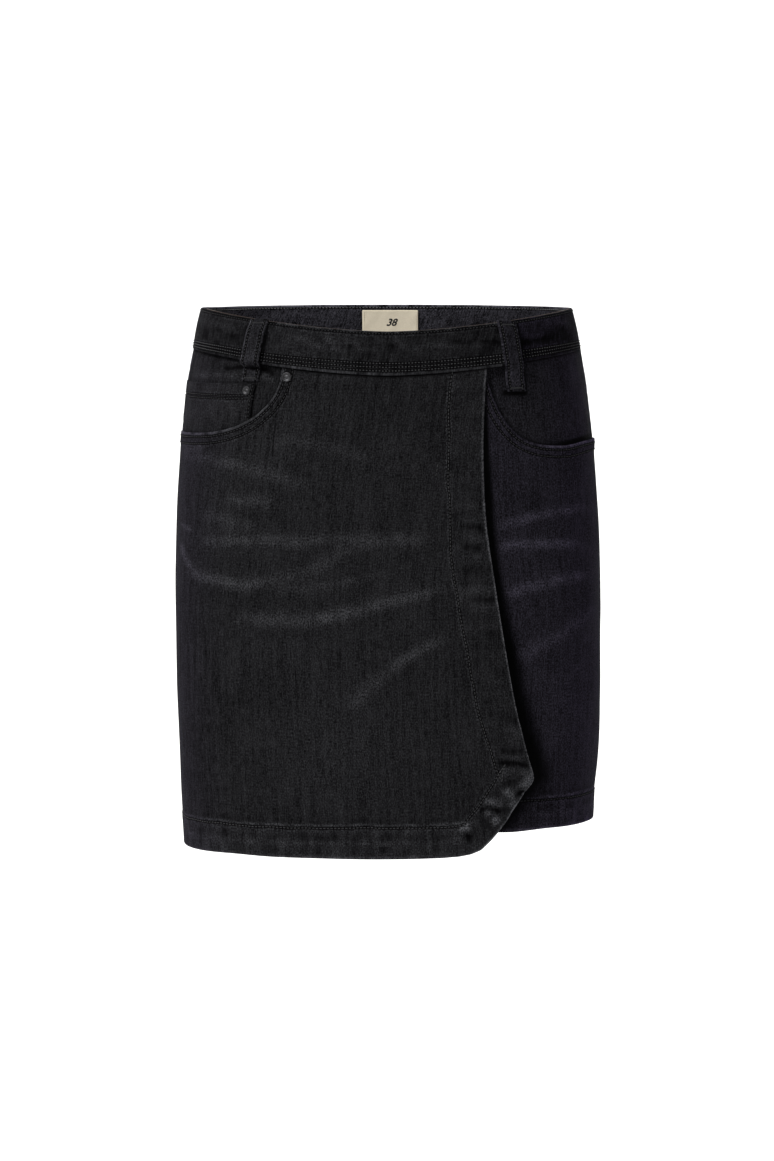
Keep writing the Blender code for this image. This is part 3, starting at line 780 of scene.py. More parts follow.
# Pocket mouths: start from the centre line, depth, two shape powers, rise to the side.
MOUTH_RIGHT = (0.0880, 0.0597, 2.4, 0.520, 0.0000)
MOUTH_LEFT = (0.0800, 0.0686, 5.0, 1.000, 0.0040)
MOUTH_ROWS = (0.0031, 0.0089)              # stitching below a mouth's edge
MOUTH_TURN = 0.0085          # depth of its turned edge
MOUTH_WORN = 0.105           # the left mouth's edge is worn this far from the side seam
POCKET_WALL = 0.0010
TUCK = 0.0040                # the pocket cloth goes up this far behind the waistband
LEFT_BACKING_LIFT = -0.0017  # outer face of the left pocket cloth, a little inside the body
LEFT_BACKING_SHARE = 0.86    # it covers this much of the way from the side to the centre seam
LEFT_POCKET_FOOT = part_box("pocket_backing_left")[0][2]


def mouth_line(surface, side, mouth):
    """Edge of a pocket mouth on the cloth, from the side seam to the waist seam."""
    start, depth, power, bend, rise = mouth
    along = (1 + np.cos(np.linspace(0, math.pi, 120))) / 2
    fall = (1 - (1 - along) ** power) ** bend
    v = front_seam(start) - TOP_GAP - depth * fall + rise * ease((along - 0.70) / 0.30)
    x = start + along * (read(SECTIONS, HALF_WIDTH, v) - start)
    return pairs(surface.reach(side * x, v), v)


def cut_out_top(surface, side, mouth, last_x, mouth_columns, tail):
    """Top line of a front with its mouth: along the mouth, then along the waist seam."""
    cut = even(mouth_line(surface, side, mouth), mouth_columns)
    x = side * mouth[0] + (last_x - side * mouth[0]) * tail
    v = front_seam(x) - TOP_GAP
    return np.concatenate([cut, pairs(surface.reach(x, v), v)[1:]])


def mouth_rise(gap, along, seed):
    """A mouth's turned edge stands up and puckers along its stitching."""
    return (0.0004 * (1 - ease((gap - MOUTH_TURN) / 0.002))
            + seam_pucker(gap - 0.003, along, seed, 0.0002))


# The wrap panel's free edge over the left leg, and the slanted cut and hem below its corner.
EDGE = (                     # height, free edge's distance from the centre line
    (-0.02, 0.0828), (-0.057, 0.0804), (-0.107, 0.0796), (-0.157, 0.082), (-0.208, 0.0894),
    (-0.259, 0.0978), (-0.31, 0.1067), (-0.344, 0.1149), (-0.3745, 0.1234),
)
CUT = (                      # the slanted cut below the corner, then the hem: x and height
    (0.1234, -0.3745), (0.1236, -0.3775), (0.1208, -0.382), (0.1163, -0.3875), (0.1108, -0.3958),
    (0.1053, -0.4042), (0.1003, -0.4125), (0.094, -0.421), (0.0868, -0.4292), (0.079, -0.4366),
    (0.07, -0.4402), (0.06, -0.442), (0.045, -0.443), (0.02, -0.4434), (-0.04, -0.4435),
)

# Creases and fades of the left front: ends (x, z), bow, width and height.
LEG_CREASES = (
    (0.096, -0.163, 0.172, -0.15, 0.002, 0.006, 0.0008),
    (0.094, -0.183, 0.176, -0.186, 0.003, 0.0065, 0.0009),
    (0.1, -0.224, 0.178, -0.207, 0.004, 0.007, 0.0009),
    (0.106, -0.28, 0.18, -0.236, -0.004, 0.009, 0.0008),
    (0.12, -0.33, 0.178, -0.3, 0.006, 0.012, -0.0006),
    (0.084, -0.14, 0.13, -0.128, 0, 0.005, 0.0005),
)
LEG_FADES = (
    (0.092, -0.164, 0.168, -0.15, 0.002, 0.0036, 0.2),
    (0.09, -0.181, 0.17, -0.183, 0.003, 0.004, 0.21),
    (0.098, -0.222, 0.17, -0.208, 0.003, 0.0044, 0.18),
    (0.107, -0.277, 0.174, -0.237, -0.003, 0.006, 0.1),
    (0.15, -0.28, 0.15, -0.36, 0, 0.025, 0.03),
)
WRAP_EDGE_SHADOW = (               # height; width of the painted shadow's black beside the wrap's edge, of its grey beyond
    (-0.04, 0.0008, 0.0016), (-0.091, 0.0036, 0.0022), (-0.126, 0.0046, 0.0042),
    (-0.195, 0.0036, 0.0062), (-0.23, 0.0034, 0.0062), (-0.264, 0.0056, 0.0056),
    (-0.3, 0.0054, 0.007), (-0.34, 0.0062, 0.01), (-0.37, 0.0072, 0.0125), (-0.4, 0.003, 0.019),
)
front_left_surface = quarter(1, -1)
left_mouth = mouth_line(front_left_surface, 1, MOUTH_LEFT)
left_hem = leg_hem_line(front_left_surface)


def beyond_edge(x, z):
    """How far across a point of the leg lies from the wrap's free edge and its cut."""
    return x - straight(sorted(EDGE[:-1] + tuple(place[::-1] for place in CUT[:10])), z)


def left_front_relief(u, v):
    """Creases, the turned hem, and a mouth whose edge gapes towards the side seam."""
    d = v - LEG_HEM
    m, along = nearest(left_mouth, u, v)
    gape = 0.0020 * bell(m, 0.009) * bell(u - 0.026, 0.018)
    return (ridges(LEG_CREASES, front_left_surface.across(u, v), v) + hem_rise(d, HEM_TURN)
            + roping(d, u, HEM_TURN, 9) + mouth_rise(m, along, 4) + gape * (v < -0.07)
            + 0.0004 * uneven(u, v, 0.09, 8) - 0.0003 * bell(u, 0.0015))


def left_front_fade(u, v):
    m = nearest(left_mouth, u, v)[0]
    d = v - LEG_HEM
    at_side = 0.15 * bell(m, 0.0014) * ease((0.095 - u) / 0.030)
    beside_row = np.abs(d - HEM_TURN) - 0.0021
    at_side = at_side + 0.055 * bell(beside_row, 0.0010) * ease((0.060 - u) / 0.045)
    return (0.018 + ridges(LEG_FADES, front_left_surface.across(u, v), v)
            + hem_wear(d, HEM_TURN, u, 10) + at_side
            + 0.020 * (1 - ease((d - HEM_TURN) / 0.002)))


def left_front_unworn(u, v):
    """Painted shadow of the wrap's free edge on the leg: black beside it, greying a little way out.
    """
    black, grey = read(WRAP_EDGE_SHADOW, 1, v), read(WRAP_EDGE_SHADOW, 2, v)
    beyond = beyond_edge(front_left_surface.across(u, v), v)
    return 1 - np.clip((beyond - black) / grey, 0, 1)


def left_front_stitched(u, v):
    m = nearest(left_mouth, u, v)[0]
    return (v - LEG_HEM - HEM_TURN, m - MOUTH_ROWS[0], m - MOUTH_ROWS[1])


front_left = Panel("front_left", front_left_surface, lambda u, v: swell(1, u, v),
                   hemmed_wall, left_front_relief, left_front_fade,
                   [left_mouth[left_mouth[:, 0] < MOUTH_WORN], left_hem], 20.0,
                   left_front_stitched, (0.50, 1.0), left_front_unworn)
MOUTH_COLUMNS = 44           # below the mouth, and as many from there to the centre seam
LEFT_MOUTH_SHARE = 0.58      # part of the foot line that lies below the mouth's columns
left_top = cut_out_top(front_left_surface, 1, MOUTH_LEFT, 0.0, MOUTH_COLUMNS,
                       np.linspace(0, 1, MOUTH_COLUMNS))
left_top[:, 0] /= front_left_surface.girth(left_top[:, 1])
foot_shares = np.concatenate([np.linspace(0, LEFT_MOUTH_SHARE, MOUTH_COLUMNS),
                              np.linspace(LEFT_MOUTH_SHARE, 1, MOUTH_COLUMNS)[1:]])
foot_x = front_left_surface.across(foot_shares * front_left_surface.girth(LEG_HEM), LEG_HEM)
hem_sag = 0.0023 * (1 - ease((foot_x - 0.100) / 0.040)) * ease(foot_x / 0.050)
front_left.cut_between(left_top, pairs(foot_shares, LEG_HEM + EDGE_ROLL - hem_sag), ROWS,
                       black_denim)
left_rows = [inset(left_mouth, -gap) for gap in MOUTH_ROWS] + [inset(left_hem, HEM_TURN)]
left_thread = stitching("front_left_stitching", front_left, left_rows, black_thread)
front_left.declare("black_denim", "hung", ["waistband_front"], [left_thread])

LEFT_LOOP = ((0.0977, 0.0100), (0.1076, -0.0500))        # its middle line: x and height


def beside_left_loop(x, v):
    """How far across a point is from the loop's middle line, and the strip of painted shadow beside
    it.
    """
    (top_x, top), (foot_x, foot) = LEFT_LOOP
    across = x - foot_x - (top_x - foot_x) * (v - foot) / (top - foot)
    strip = ease((across - 0.0070) / 0.001) * ease((0.0122 - across) / 0.0016)
    return across, strip * (v > foot)


def left_backing_unworn(u, v):
    """Painted shade: black along the mouth's edge and in its gape, below the band, beside and below
    the belt loop, and near the side seam.
    """
    x = front_left_surface.across(u, v)
    foot = LEFT_LOOP[1][1]
    across, beside = beside_left_loop(x, v)
    below = ease((foot + 0.002 - v) / 0.001) * ease((v - foot + 0.0042) / 0.0016)
    below = below * (np.abs(across) < 0.0098)
    m = nearest(left_mouth, u, v)[0]
    gape = ease((0.100 - u) / 0.030) * (v < -0.05)
    mouth = (0.90 * (1 - gape) * bell(m, 0.0021)
             + gape * (1 - ease((m - 0.0036) / 0.0018)))
    band_shadow = painted_band_shadow(v, front_seam(x))
    # painted shade near the side seam
    at_side = 0.60 * ease(1 - u / 0.045)
    return np.maximum.reduce([beside, below, mouth, band_shadow, at_side])


backing_left = Panel("pocket_backing_left", front_left_surface,
                     lambda u, v: (LEFT_BACKING_LIFT + 0.0011 * ease(1 - u / 0.012)
                                   + swell(1, u, v)), POCKET_WALL,
                     lambda u, v: 0.0003 * uneven(u, v, 0.03, 2), lambda u, v: 0.012 + 0 * u,
                     seed=21.0, cast=(0.25, 1.0), unworn=left_backing_unworn)
shares = np.linspace(0, LEFT_BACKING_SHARE, 60)
backing_top = sewn_top(front_left_surface, front_seam, shares)
backing_top[:, 1] += TUCK * ease(shares / 0.06)
backing_left.cut_between(backing_top, pairs(shares, LEFT_POCKET_FOOT), np.linspace(0, 1, 90),
                         black_denim)
backing_left.declare("black_denim", "hung", ["waistband_front"])

# ------------------------------------------------------------------ right front
# The right front is the same cut, all of it under the wrap panel, with a turned-up hem. It is
# sewn to the left front at the centre and to the right back at the side and the inseam.

POCKET_SINK = -0.0027        # it lies this far in, behind the pocket cloth
SINK_REACH = 14 / 90         # share of its girth over which it comes out again at the centre
front_right_surface = quarter(-1, -1)


def right_front_lift(u, v):
    """It lies further in behind the pocket, and goes in with the side seam where that does."""
    to_centre = 1 - u / front_right_surface.girth(v)
    under_wrap = 1.3 * np.minimum(swell(-1, u, v), 0.0)
    return POCKET_SINK * ease(to_centre / SINK_REACH) * ease((v + 0.18) / 0.04) + under_wrap


right_hem = leg_hem_line(front_right_surface)
front_right = Panel("front_right", front_right_surface, right_front_lift, hemmed_wall,
                    lambda u, v: hem_rise(v - LEG_HEM, HEM_TURN) + 0.0004 * uneven(u, v, 0.1, 6),
                    edges=[right_hem], seed=22.0)
shares = np.linspace(0, 1, 56)
rows = np.concatenate([np.linspace(0, 0.92, 90, endpoint=False), np.linspace(0.92, 1, 20)])
front_right.cut_between(sewn_top(front_right_surface, front_seam, shares),
                        pairs(shares, LEG_HEM + EDGE_ROLL), rows, black_denim)
right_thread = stitching("front_right_stitching", front_right, [inset(right_hem, HEM_TURN)],
                         black_thread)
front_right.declare("black_denim", "hung", ["waistband_front"], [right_thread])

# ------------------------------------------------------------------ right pocket
# Behind the wrap's own mouth lies a denim backing with a small coin pocket on it, whose top is
# turned under and topstitched. Both end in the right side seam.

DRAPE = (                    # height, how far the wrap hangs off the body, roundness
    (0.024, 0, 2.35), (-0.04, 0, 2.35), (-0.1, 0.0024, 2.35), (-0.18, 0.0068, 2.5),
    (-0.23, 0.0158, 2.6), (-0.28, 0.0207, 2.6), (-0.35, 0.0222, 2.6), (-0.45, 0.0226, 2.6),
)
FLARE = 0.0070               # its hem kicks out this far towards the wearer's right
COIN_LIFT = 0.0001           # outer face of the coin pocket above the body
COIN_HEM = 0.0100            # depth that is turned under at its top
COIN_TOP, COIN_FOOT = -0.0443, -0.1000
RIGHT_POCKET_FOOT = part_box("pocket_backing_right")[0][2]
BACKING_END = -0.052         # the pocket cloth ends this far from the centre line


def wrap_place(share, height):
    """Form of the hanging wrap panel, from the right side seam round to the left."""
    half_width, depth, _ = section(-1, height)
    x, y = ring(0, half_width, depth + read(DRAPE, 1, height), read(DRAPE, 2, height),
                math.pi * share)
    kick = FLARE * ease((-x - 0.03) / 0.10) * ease((-0.26 - height) / 0.11)
    return np.stack([-x, -(y + SEAM_GAP / 2) - kick, height + 0 * x], -1)


wrap_surface = Surface(wrap_place, 1)
right_mouth = mouth_line(wrap_surface, -1, MOUTH_RIGHT)
COIN_ROWS = (0.0095, 0.0122)               # stitching below the coin pocket's top
COIN_SIDE_ROW = 0.0018                     # and in from its inner side
COIN_SIDE = (                # the coin pocket's inner side: x and height
    (-0.1116, -0.0443), (-0.1143, -0.053), (-0.1162, -0.068), (-0.117, -0.08), (-0.1185, -0.1),
)
BACKING_CREASES = (          # ends (x, z), bow, width and height
    (-0.14, -0.0325, -0.12, -0.03, 0.001, 0.0018, -0.0011),
    (-0.166, -0.0385, -0.125, -0.037, 0.001, 0.003, 0.0008),
    (-0.111, -0.03, -0.096, -0.035, 0.0012, 0.002, -0.001),
    (-0.109, -0.037, -0.095, -0.042, 0.001, 0.0024, 0.0009),
)
side_x, side_z = np.array(COIN_SIDE).T
coin_side = pairs(wrap_surface.reach(side_x, side_z), side_z)
coin_top = np.array(((0.0, COIN_TOP), (coin_side[0, 0], COIN_TOP)))


def pocket_lift(u, v):
    """The pocket cloth comes out to the wrap's own face where both end in the side seam."""
    mouth = np.interp(u, right_mouth[:, 0], right_mouth[:, 1])
    open_part = ease((v - mouth - 0.001) / 0.010)
    at_side = (WRAP_LIFT - COIN_LIFT) * ease(1 - u / 0.020) * open_part
    return at_side + swell(-1, u, v)


def right_backing_relief(u, v):
    return (ridges(BACKING_CREASES, wrap_surface.across(u, v), v)
            + 0.0002 * uneven(u, v, 0.03, 12))


def right_backing_fade(u, v):
    m = nearest(right_mouth, u, v)[0]
    coin = nearest(coin_side, u, v)[0]
    # creases paler on their crests, as worn, and darker in their hollows: painted shade; painted
    # shade along the mouth's edge and a painted shadow beside the coin pocket's inner side
    return (-0.02 + 120 * ridges(BACKING_CREASES, wrap_surface.across(u, v), v)
            - 0.08 * bell(m, 0.0020) - 0.22 * bell(coin, 0.0011))


def coin_fade(u, v):
    m = nearest(right_mouth, u, v)[0]
    # painted shade along the mouth's edge
    return 0.005 - 0.08 * bell(m, 0.0020) + 0.02 * uneven(u, v, 0.02, 13)


def from_coin_side(u, v):
    """Distance in from the coin pocket's inner side."""
    return np.interp(v, coin_side[::-1, 1], coin_side[::-1, 0]) - u


def coin_unworn(u, v):
    """Painted shadow along its inner side."""
    return 0.9 * bell(from_coin_side(u, v), 0.0010)


def coin_stitched(u, v):
    below = COIN_TOP - v
    return (below - COIN_ROWS[0], below - COIN_ROWS[1], from_coin_side(u, v) - COIN_SIDE_ROW)


def right_backing_lift(u, v):
    seam = front_seam(wrap_surface.across(u, v))
    tucked = ease((v - seam + 0.005) / 0.003) * ease((u - 0.008) / 0.010)
    return COIN_LIFT - POCKET_WALL - SEAM_GAP + pocket_lift(u, v) - 0.0006 * tucked


# The pocket cloth gets painted shadow right below the band.
backing_right = Panel("pocket_backing_right", wrap_surface, right_backing_lift, POCKET_WALL,
                      right_backing_relief, right_backing_fade, seed=30.0,
                      cast=(0.0, 0.15), unworn=lambda u, v: 0.6 * painted_band_shadow(
                          v, front_seam(wrap_surface.across(u, v))))
columns = np.linspace(0, float(wrap_surface.reach(BACKING_END, -0.05)[0]), 90)
top = (front_seam(wrap_surface.across(columns, -0.03)) - TOP_GAP
       + TUCK * ease((columns - 0.008) / 0.010))
u, v = patch(pairs(columns, top), pairs(columns, RIGHT_POCKET_FOOT), np.linspace(0, 1, 90))
backing_right.cut(u, v, black_denim)
backing_right.declare("black_denim", "hung", ["waistband_front"])

coin_pocket = Panel("coin_pocket", wrap_surface, lambda u, v: COIN_LIFT + pocket_lift(u, v),
                    POCKET_WALL, lambda u, v: (hem_rise(COIN_TOP - v, COIN_HEM, 0.0003)
                                               + 0.0002 * uneven(u, v, 0.02, 14)),
                    coin_fade, (), 31.0, coin_stitched, (0.0, 0.15), coin_unworn)
levels = np.linspace(COIN_TOP, COIN_FOOT, 60)
ends = np.interp(levels, side_z[::-1], coin_side[::-1, 0])
u, v = np.broadcast_arrays(np.linspace(0, 1, 56) * ends[:, None], levels[:, None])
coin_pocket.cut(u, v, black_denim)
coin_rows = [even(coin_top - (0, gap), 40) for gap in COIN_ROWS]
coin_rows.append(even(coin_side - (COIN_SIDE_ROW, 0), 40))
coin_thread = stitching("coin_pocket_stitching", coin_pocket, coin_rows, black_thread)
coin_pocket.declare("black_denim", "hung", ["pocket_backing_right"], [coin_thread])

# ------------------------------------------------------------------ wrap panel
# One wide panel of denim, sewn into the waistband and the right side seam, that hangs free over
# both legs. Its free edge, slanted corner and hem are turned back and held by one row of stitches.

WRAP_WALL = 0.0012
WRAP_EXTRA = 0.0009          # it is this much thicker where it is turned back
WRAP_BORDER = 0.027          # which it is about this far in from its edges
WRAP_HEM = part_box("wrap_panel")[0][2]
TURNS = (                    # way along the border, depth that is turned back
    (0, 0.0285), (0.03, 0.03), (0.055, 0.0292), (0.085, 0.03), (0.12, 0.0298), (0.155, 0.033),
    (0.19, 0.0335), (0.24, 0.033), (0.3, 0.0325), (0.345, 0.03), (0.385, 0.027), (0.45, 0.0258),
    (0.7, 0.0258),
)

# Creases and fades of the wrap panel: ends (x, z), bow, width and height.
BORDER_FOLDS = (             # across its turned-back border
    (0.06, -0.156, 0.08, -0.159, 0, 0.003, 0.0006),
    (0.064, -0.164, 0.0835, -0.166, 0.001, 0.0035, -0.001),
    (0.066, -0.174, 0.085, -0.1745, 0, 0.003, 0.0009),
    (0.062, -0.1805, 0.079, -0.1815, 0, 0.003, -0.0008),
    (0.06, -0.188, 0.08, -0.189, 0.001, 0.0035, 0.0006),
    (0.062, -0.2, 0.08, -0.201, 0, 0.0035, -0.0007),
    (0.058, -0.2185, 0.09, -0.2175, 0.001, 0.0035, 0.001),
    (0.068, -0.2245, 0.093, -0.225, 0, 0.002, -0.0009),
    (0.068, -0.232, 0.093, -0.231, 0, 0.0035, 0.0006),
    (0.078, -0.27, 0.098, -0.269, 0, 0.004, -0.0003),
    (0.086, -0.305, 0.105, -0.306, 0, 0.004, 0.0006),
    (0.092, -0.325, 0.112, -0.327, 0, 0.003, -0.0005),
    (0.094, -0.333, 0.113, -0.336, 0, 0.0035, 0.0008),
    (0.095, -0.343, 0.114, -0.344, 0, 0.003, 0.0006),
    (0.093, -0.352, 0.115, -0.3545, 0, 0.0026, -0.0011),
    (0.093, -0.358, 0.116, -0.3595, 0, 0.0026, 0.0009),
    (0.092, -0.3625, 0.119, -0.3665, 0.001, 0.0024, -0.0018),
    (0.096, -0.3695, 0.121, -0.372, 0.001, 0.0036, 0.0014),
    (0.096, -0.38, 0.115, -0.38, 0, 0.003, -0.0007),
    (0.094, -0.385, 0.109, -0.396, 0.001, 0.0024, 0.0013),
    (0.106, -0.386, 0.121, -0.378, 0, 0.0026, 0.0012),
    (0.106, -0.391, 0.116, -0.386, 0, 0.0022, -0.0012),
    (0.084, -0.389, 0.096, -0.392, 0, 0.0022, -0.001),
    (0.079, -0.395, 0.103, -0.3975, 0.001, 0.004, 0.0011),
    (0.077, -0.402, 0.105, -0.403, 0, 0.0022, -0.0014),
    (0.083, -0.404, 0.096, -0.414, 0.001, 0.0032, 0.001),
    (0.074, -0.406, 0.086, -0.419, 0.001, 0.0028, -0.0008),
    (0.06, -0.4205, 0.071, -0.4185, 0, 0.0026, 0.0014),
    (0.066, -0.423, 0.071, -0.431, 0, 0.0024, -0.0013),
    (0.056, -0.428, 0.064, -0.423, 0, 0.0026, 0.0008),
)
WRAP_CREASES = BORDER_FOLDS + (
    (-0.172, -0.116, -0.07, -0.13, 0.002, 0.007, 0.0009),
    (-0.173, -0.146, -0.086, -0.15, 0.002, 0.006, 0.0005),
    (-0.174, -0.179, -0.03, -0.176, 0.002, 0.0075, 0.0008),
    (-0.174, -0.185, -0.04, -0.201, -0.016, 0.0075, 0.0009),
    (-0.127, -0.246, 0.043, -0.216, -0.006, 0.01, 0.001),
    (0.046, -0.256, -0.036, -0.312, -0.006, 0.011, 0.0007),
    (-0.15, -0.33, -0.02, -0.35, 0.01, 0.016, -0.0006),
    (-0.1, -0.39, 0.04, -0.38, -0.008, 0.014, 0.0005),
)
WRAP_FADES = (
    (-0.174, -0.102, -0.156, -0.098, 0, 0.003, 0.1),
    (-0.174, -0.106, -0.123, -0.113, 0.001, 0.0045, 0.07),
    (-0.14, -0.109, -0.067, -0.129, 0.001, 0.005, 0.09),
    (-0.1, -0.092, -0.008, -0.11, 0.006, 0.0045, 0.06),
    (-0.137, -0.142, -0.095, -0.142, 0, 0.005, 0.1),
    (-0.158, -0.155, -0.11, -0.168, 0.001, 0.0065, 0.08),
    (-0.16, -0.178, -0.07, -0.177, 0.002, 0.0048, 0.13),
    (-0.09, -0.176, 0.04, -0.173, 0.002, 0.0048, 0.1),
    (-0.176, -0.165, -0.165, -0.17, 0, 0.0018, 0.12),
    (-0.176, -0.182, -0.166, -0.202, -0.001, 0.0024, 0.2),
    (-0.168, -0.204, -0.106, -0.212, -0.003, 0.0045, 0.2),
    (-0.12, -0.212, -0.035, -0.186, -0.005, 0.0055, 0.08),
    (-0.06, -0.188, 0.028, -0.175, 0.003, 0.0055, 0.07),
    (-0.128, -0.242, -0.03, -0.24, 0, 0.006, 0.14),
    (-0.06, -0.24, 0.045, -0.215, -0.001, 0.0048, 0.17),
    (-0.095, -0.217, -0.015, -0.205, -0.002, 0.0045, 0.07),
    (0.048, -0.256, -0.032, -0.316, -0.006, 0.0048, 0.17),
    # broad strips: paler down the middle, darker along the top, and painted shade down the right
    # side
    (-0.01, -0.29, -0.06, -0.4, 0, 0.04, 0.025),
    (-0.02, -0.19, 0.02, -0.26, 0, 0.045, 0.012),
    (-0.145, -0.19, -0.156, -0.42, 0, 0.03, -0.022),
    (-0.06, -0.05, 0.05, -0.06, 0, 0.03, -0.01),
    # at the corner: painted highlights on its puckers and folds, and painted shade in one pucker
    (0.112, -0.385, 0.1215, -0.3745, 0, 0.004, 0.4),
    (0.0985, -0.385, 0.106, -0.3925, 0, 0.0032, 0.5),
    (0.082, -0.3925, 0.096, -0.3985, 0.001, 0.0036, 0.28),
    (0.101, -0.4, 0.107, -0.3945, 0, 0.003, 0.34),
    (0.088, -0.409, 0.0925, -0.4145, 0, 0.0032, 0.34),
    (0.082, -0.402, 0.086, -0.406, 0, 0.003, 0.2),
    (0.06, -0.4195, 0.069, -0.416, 0, 0.0022, 0.42),
    (0.064, -0.414, 0.069, -0.415, 0, 0.002, 0.2),
    (0.038, -0.415, 0.076, -0.413, 0, 0.0015, 0.17),
    (0.1195, -0.379, 0.1226, -0.369, 0, 0.0028, 0.34),
    (0.0683, -0.423, 0.0683, -0.428, 0, 0.0022, -0.14),
)
EDGE_WEAR = (                # height, how pale the fold of the free edge is
    (-0.375, 0.52), (-0.337, 0.56), (-0.303, 0.5), (-0.268, 0.54), (-0.198, 0.4), (-0.164, 0.42),
    (-0.13, 0.28), (-0.096, 0.2), (-0.06, 0.14),
)
FLECK = (0.0417, -0.1095, -0.1205)         # a short light slub: x, and its two heights

FREE_EDGE_TOP = 0.0818       # where the free edge meets the band
WRAP_HEM_END = -0.1795       # where the hem ends in the right side seam
edge_levels = np.linspace(front_seam(FREE_EDGE_TOP), EDGE[-1][0], 150)
free_edge = pairs(wrap_surface.reach(read(EDGE, 1, edge_levels), edge_levels), edge_levels)
cut_x, cut_z = np.array(CUT).T
hem_x = np.linspace(CUT[-1][0], WRAP_HEM_END, 40)[1:]
lower_line = np.concatenate([
    pairs(wrap_surface.reach(cut_x, cut_z), cut_z),
    pairs(np.append(wrap_surface.reach(hem_x, WRAP_HEM), 0.0), WRAP_HEM)])
border_line = np.concatenate([free_edge, lower_line[1:]])
edge_length = way_along(free_edge)[-1]


def turn_back(along):
    """Depth of the turned-back border along the free edge, the cut and the hem."""
    return straight(TURNS, along) + 0.0005 * uneven(along, 0, 0.045, 21)


def wrap_relief(u, v):
    d, along = nearest(border_line, u, v)
    m, mouth_along = nearest(right_mouth, u, v)
    turn = turn_back(along)
    on_hem = ease((along - edge_length - 0.05) / 0.05)
    return (ridges(WRAP_CREASES, wrap_surface.across(u, v), v) + hem_rise(d, turn)
            + roping(d, along, turn, 15) * (0.35 + 0.65 * on_hem)
            + seam_pucker(d - turn, along, 16, 0.00025) + 0.0005 * uneven(u, v, 0.12, 17)
            + mouth_rise(m, mouth_along, 18) - 0.0004 * bell(u, 0.0015))


def wrap_stitched(u, v):
    d, along = nearest(border_line, u, v)
    m = nearest(right_mouth, u, v)[0]
    return (d - turn_back(along), m - MOUTH_ROWS[0], m - MOUTH_ROWS[1])


def wrap_unworn(u, v):
    """Painted shadow of the wrap's own band across its top."""
    return painted_band_shadow(v, wrap_band_seam(wrap_surface.across(u, v)))


def wrap_fade(u, v):
    x = wrap_surface.across(u, v)
    d, along = nearest(border_line, u, v)
    m = nearest(right_mouth, u, v)[0]
    turned = 1 - ease((d - turn_back(along)) / 0.003)
    faded = ridges(WRAP_FADES, x, v)
    # folds of the border: paler on their crests, as worn, darker in their hollows: painted shade
    folds = 90 * ridges(BORDER_FOLDS, x, v) * turned
    rubbed = turned * (0.008 + 0.025 * uneven(u, 3 * v, 0.05, 25))
    on_hem = ease((along - edge_length - 0.06) / 0.04)
    at_edge = read(EDGE_WEAR, 1, v) * bell(d - 0.0008, 0.0010) * (1 - on_hem)
    beside_row = 0.10 * bell(d - turn_back(along) - 0.0012, 0.0008) * (1 - on_hem)
    return (faded + folds + rubbed + at_edge + beside_row
            + on_hem * hem_wear(d, turn_back(along), along, 26)
            - 0.03 * (1 - ease((m - MOUTH_TURN) / 0.002)))


def wrap_wall(u, v):
    d = nearest(border_line, u, v)[0]
    return WRAP_WALL + WRAP_EXTRA * (1 - ease((d - WRAP_BORDER) / 0.002))


wrap_panel = Panel("wrap_panel", wrap_surface, lambda u, v: WRAP_LIFT + swell(-1, u, v),
                   wrap_wall, wrap_relief, wrap_fade, [border_line, right_mouth], 40.0,
                   wrap_stitched, (0.0, 0.4), wrap_unworn)
WRAP_MOUTH_COLUMNS, WRAP_COLUMNS = 56, 108
MOUTH_SHARE = 0.385          # part of the foot line that lies below the mouth's columns
tail = np.linspace(0, 1, WRAP_COLUMNS)
tail = tail + 0.16 * np.sin(tail * math.pi) * tail       # closer together towards the free edge
wrap_top = cut_out_top(wrap_surface, -1, MOUTH_RIGHT, FREE_EDGE_TOP, WRAP_MOUTH_COLUMNS, tail)
foot_far = even(inset(lower_line, -EDGE_ROLL)[::-1], 700)
arc_share = np.concatenate([np.linspace(0, MOUTH_SHARE, WRAP_MOUTH_COLUMNS),
                            MOUTH_SHARE + (1 - MOUTH_SHARE) * tail[1:]])
wrap_foot = np.stack([np.interp(arc_share, np.linspace(0, 1, 700), foot_far[:, k])
                      for k in (0, 1)], -1)


def wrap_width(v):
    """From the right side seam to the free edge, where the panel's face ends."""
    return np.interp(-v, -free_edge[:, 1], free_edge[:, 0]) - EDGE_ROLL


# The hem rides up a little over the right leg and sags between the legs.
foot_x = wrap_surface.across(wrap_foot[:, 0], wrap_foot[:, 1])
wrap_foot[:, 1] += 0.0008 * (bell(foot_x + 0.128, 0.022) - bell(foot_x + 0.010, 0.045))
for line in (wrap_top, wrap_foot):
    line[:, 0] /= wrap_width(line[:, 1])
rows = np.concatenate([np.linspace(0, 0.90, 165, endpoint=False), np.linspace(0.90, 1, 58)])
share, v = patch(wrap_top, wrap_foot, rows)
wrap_panel.cut(share * wrap_width(v), v, black_denim)
border_arc = np.linspace(0, way_along(border_line)[-1], 240)
inner_row = inset(border_line, -turn_back(border_arc))
mouth_rows = [inset(right_mouth, -gap) for gap in MOUTH_ROWS]
wrap_thread = stitching("wrap_panel_stitching", wrap_panel, [inner_row], grey_thread)
mouth_thread = stitching("wrap_panel_mouth_stitching", wrap_panel, mouth_rows, black_thread)
fleck_u = float(wrap_surface.reach(FLECK[0], FLECK[1])[0])
fleck_line = even(((fleck_u, FLECK[1]), (fleck_u - 0.0006, FLECK[2])), 10)
fleck = stitching("wrap_panel_slub", wrap_panel, [fleck_line], grey_thread, 0.0036, 0.0004)
wrap_panel.declare("black_denim", "hung", ["waistband_wrap"], [wrap_thread, mouth_thread, fleck])

# ------------------------------------------------------------------ waistband
# Three straight bands of folded denim, 35 mm deep: the shorts' front and back bands and the wrap
# panel's own band over the front one. Each is topstitched once at the top and thrice at the seam.

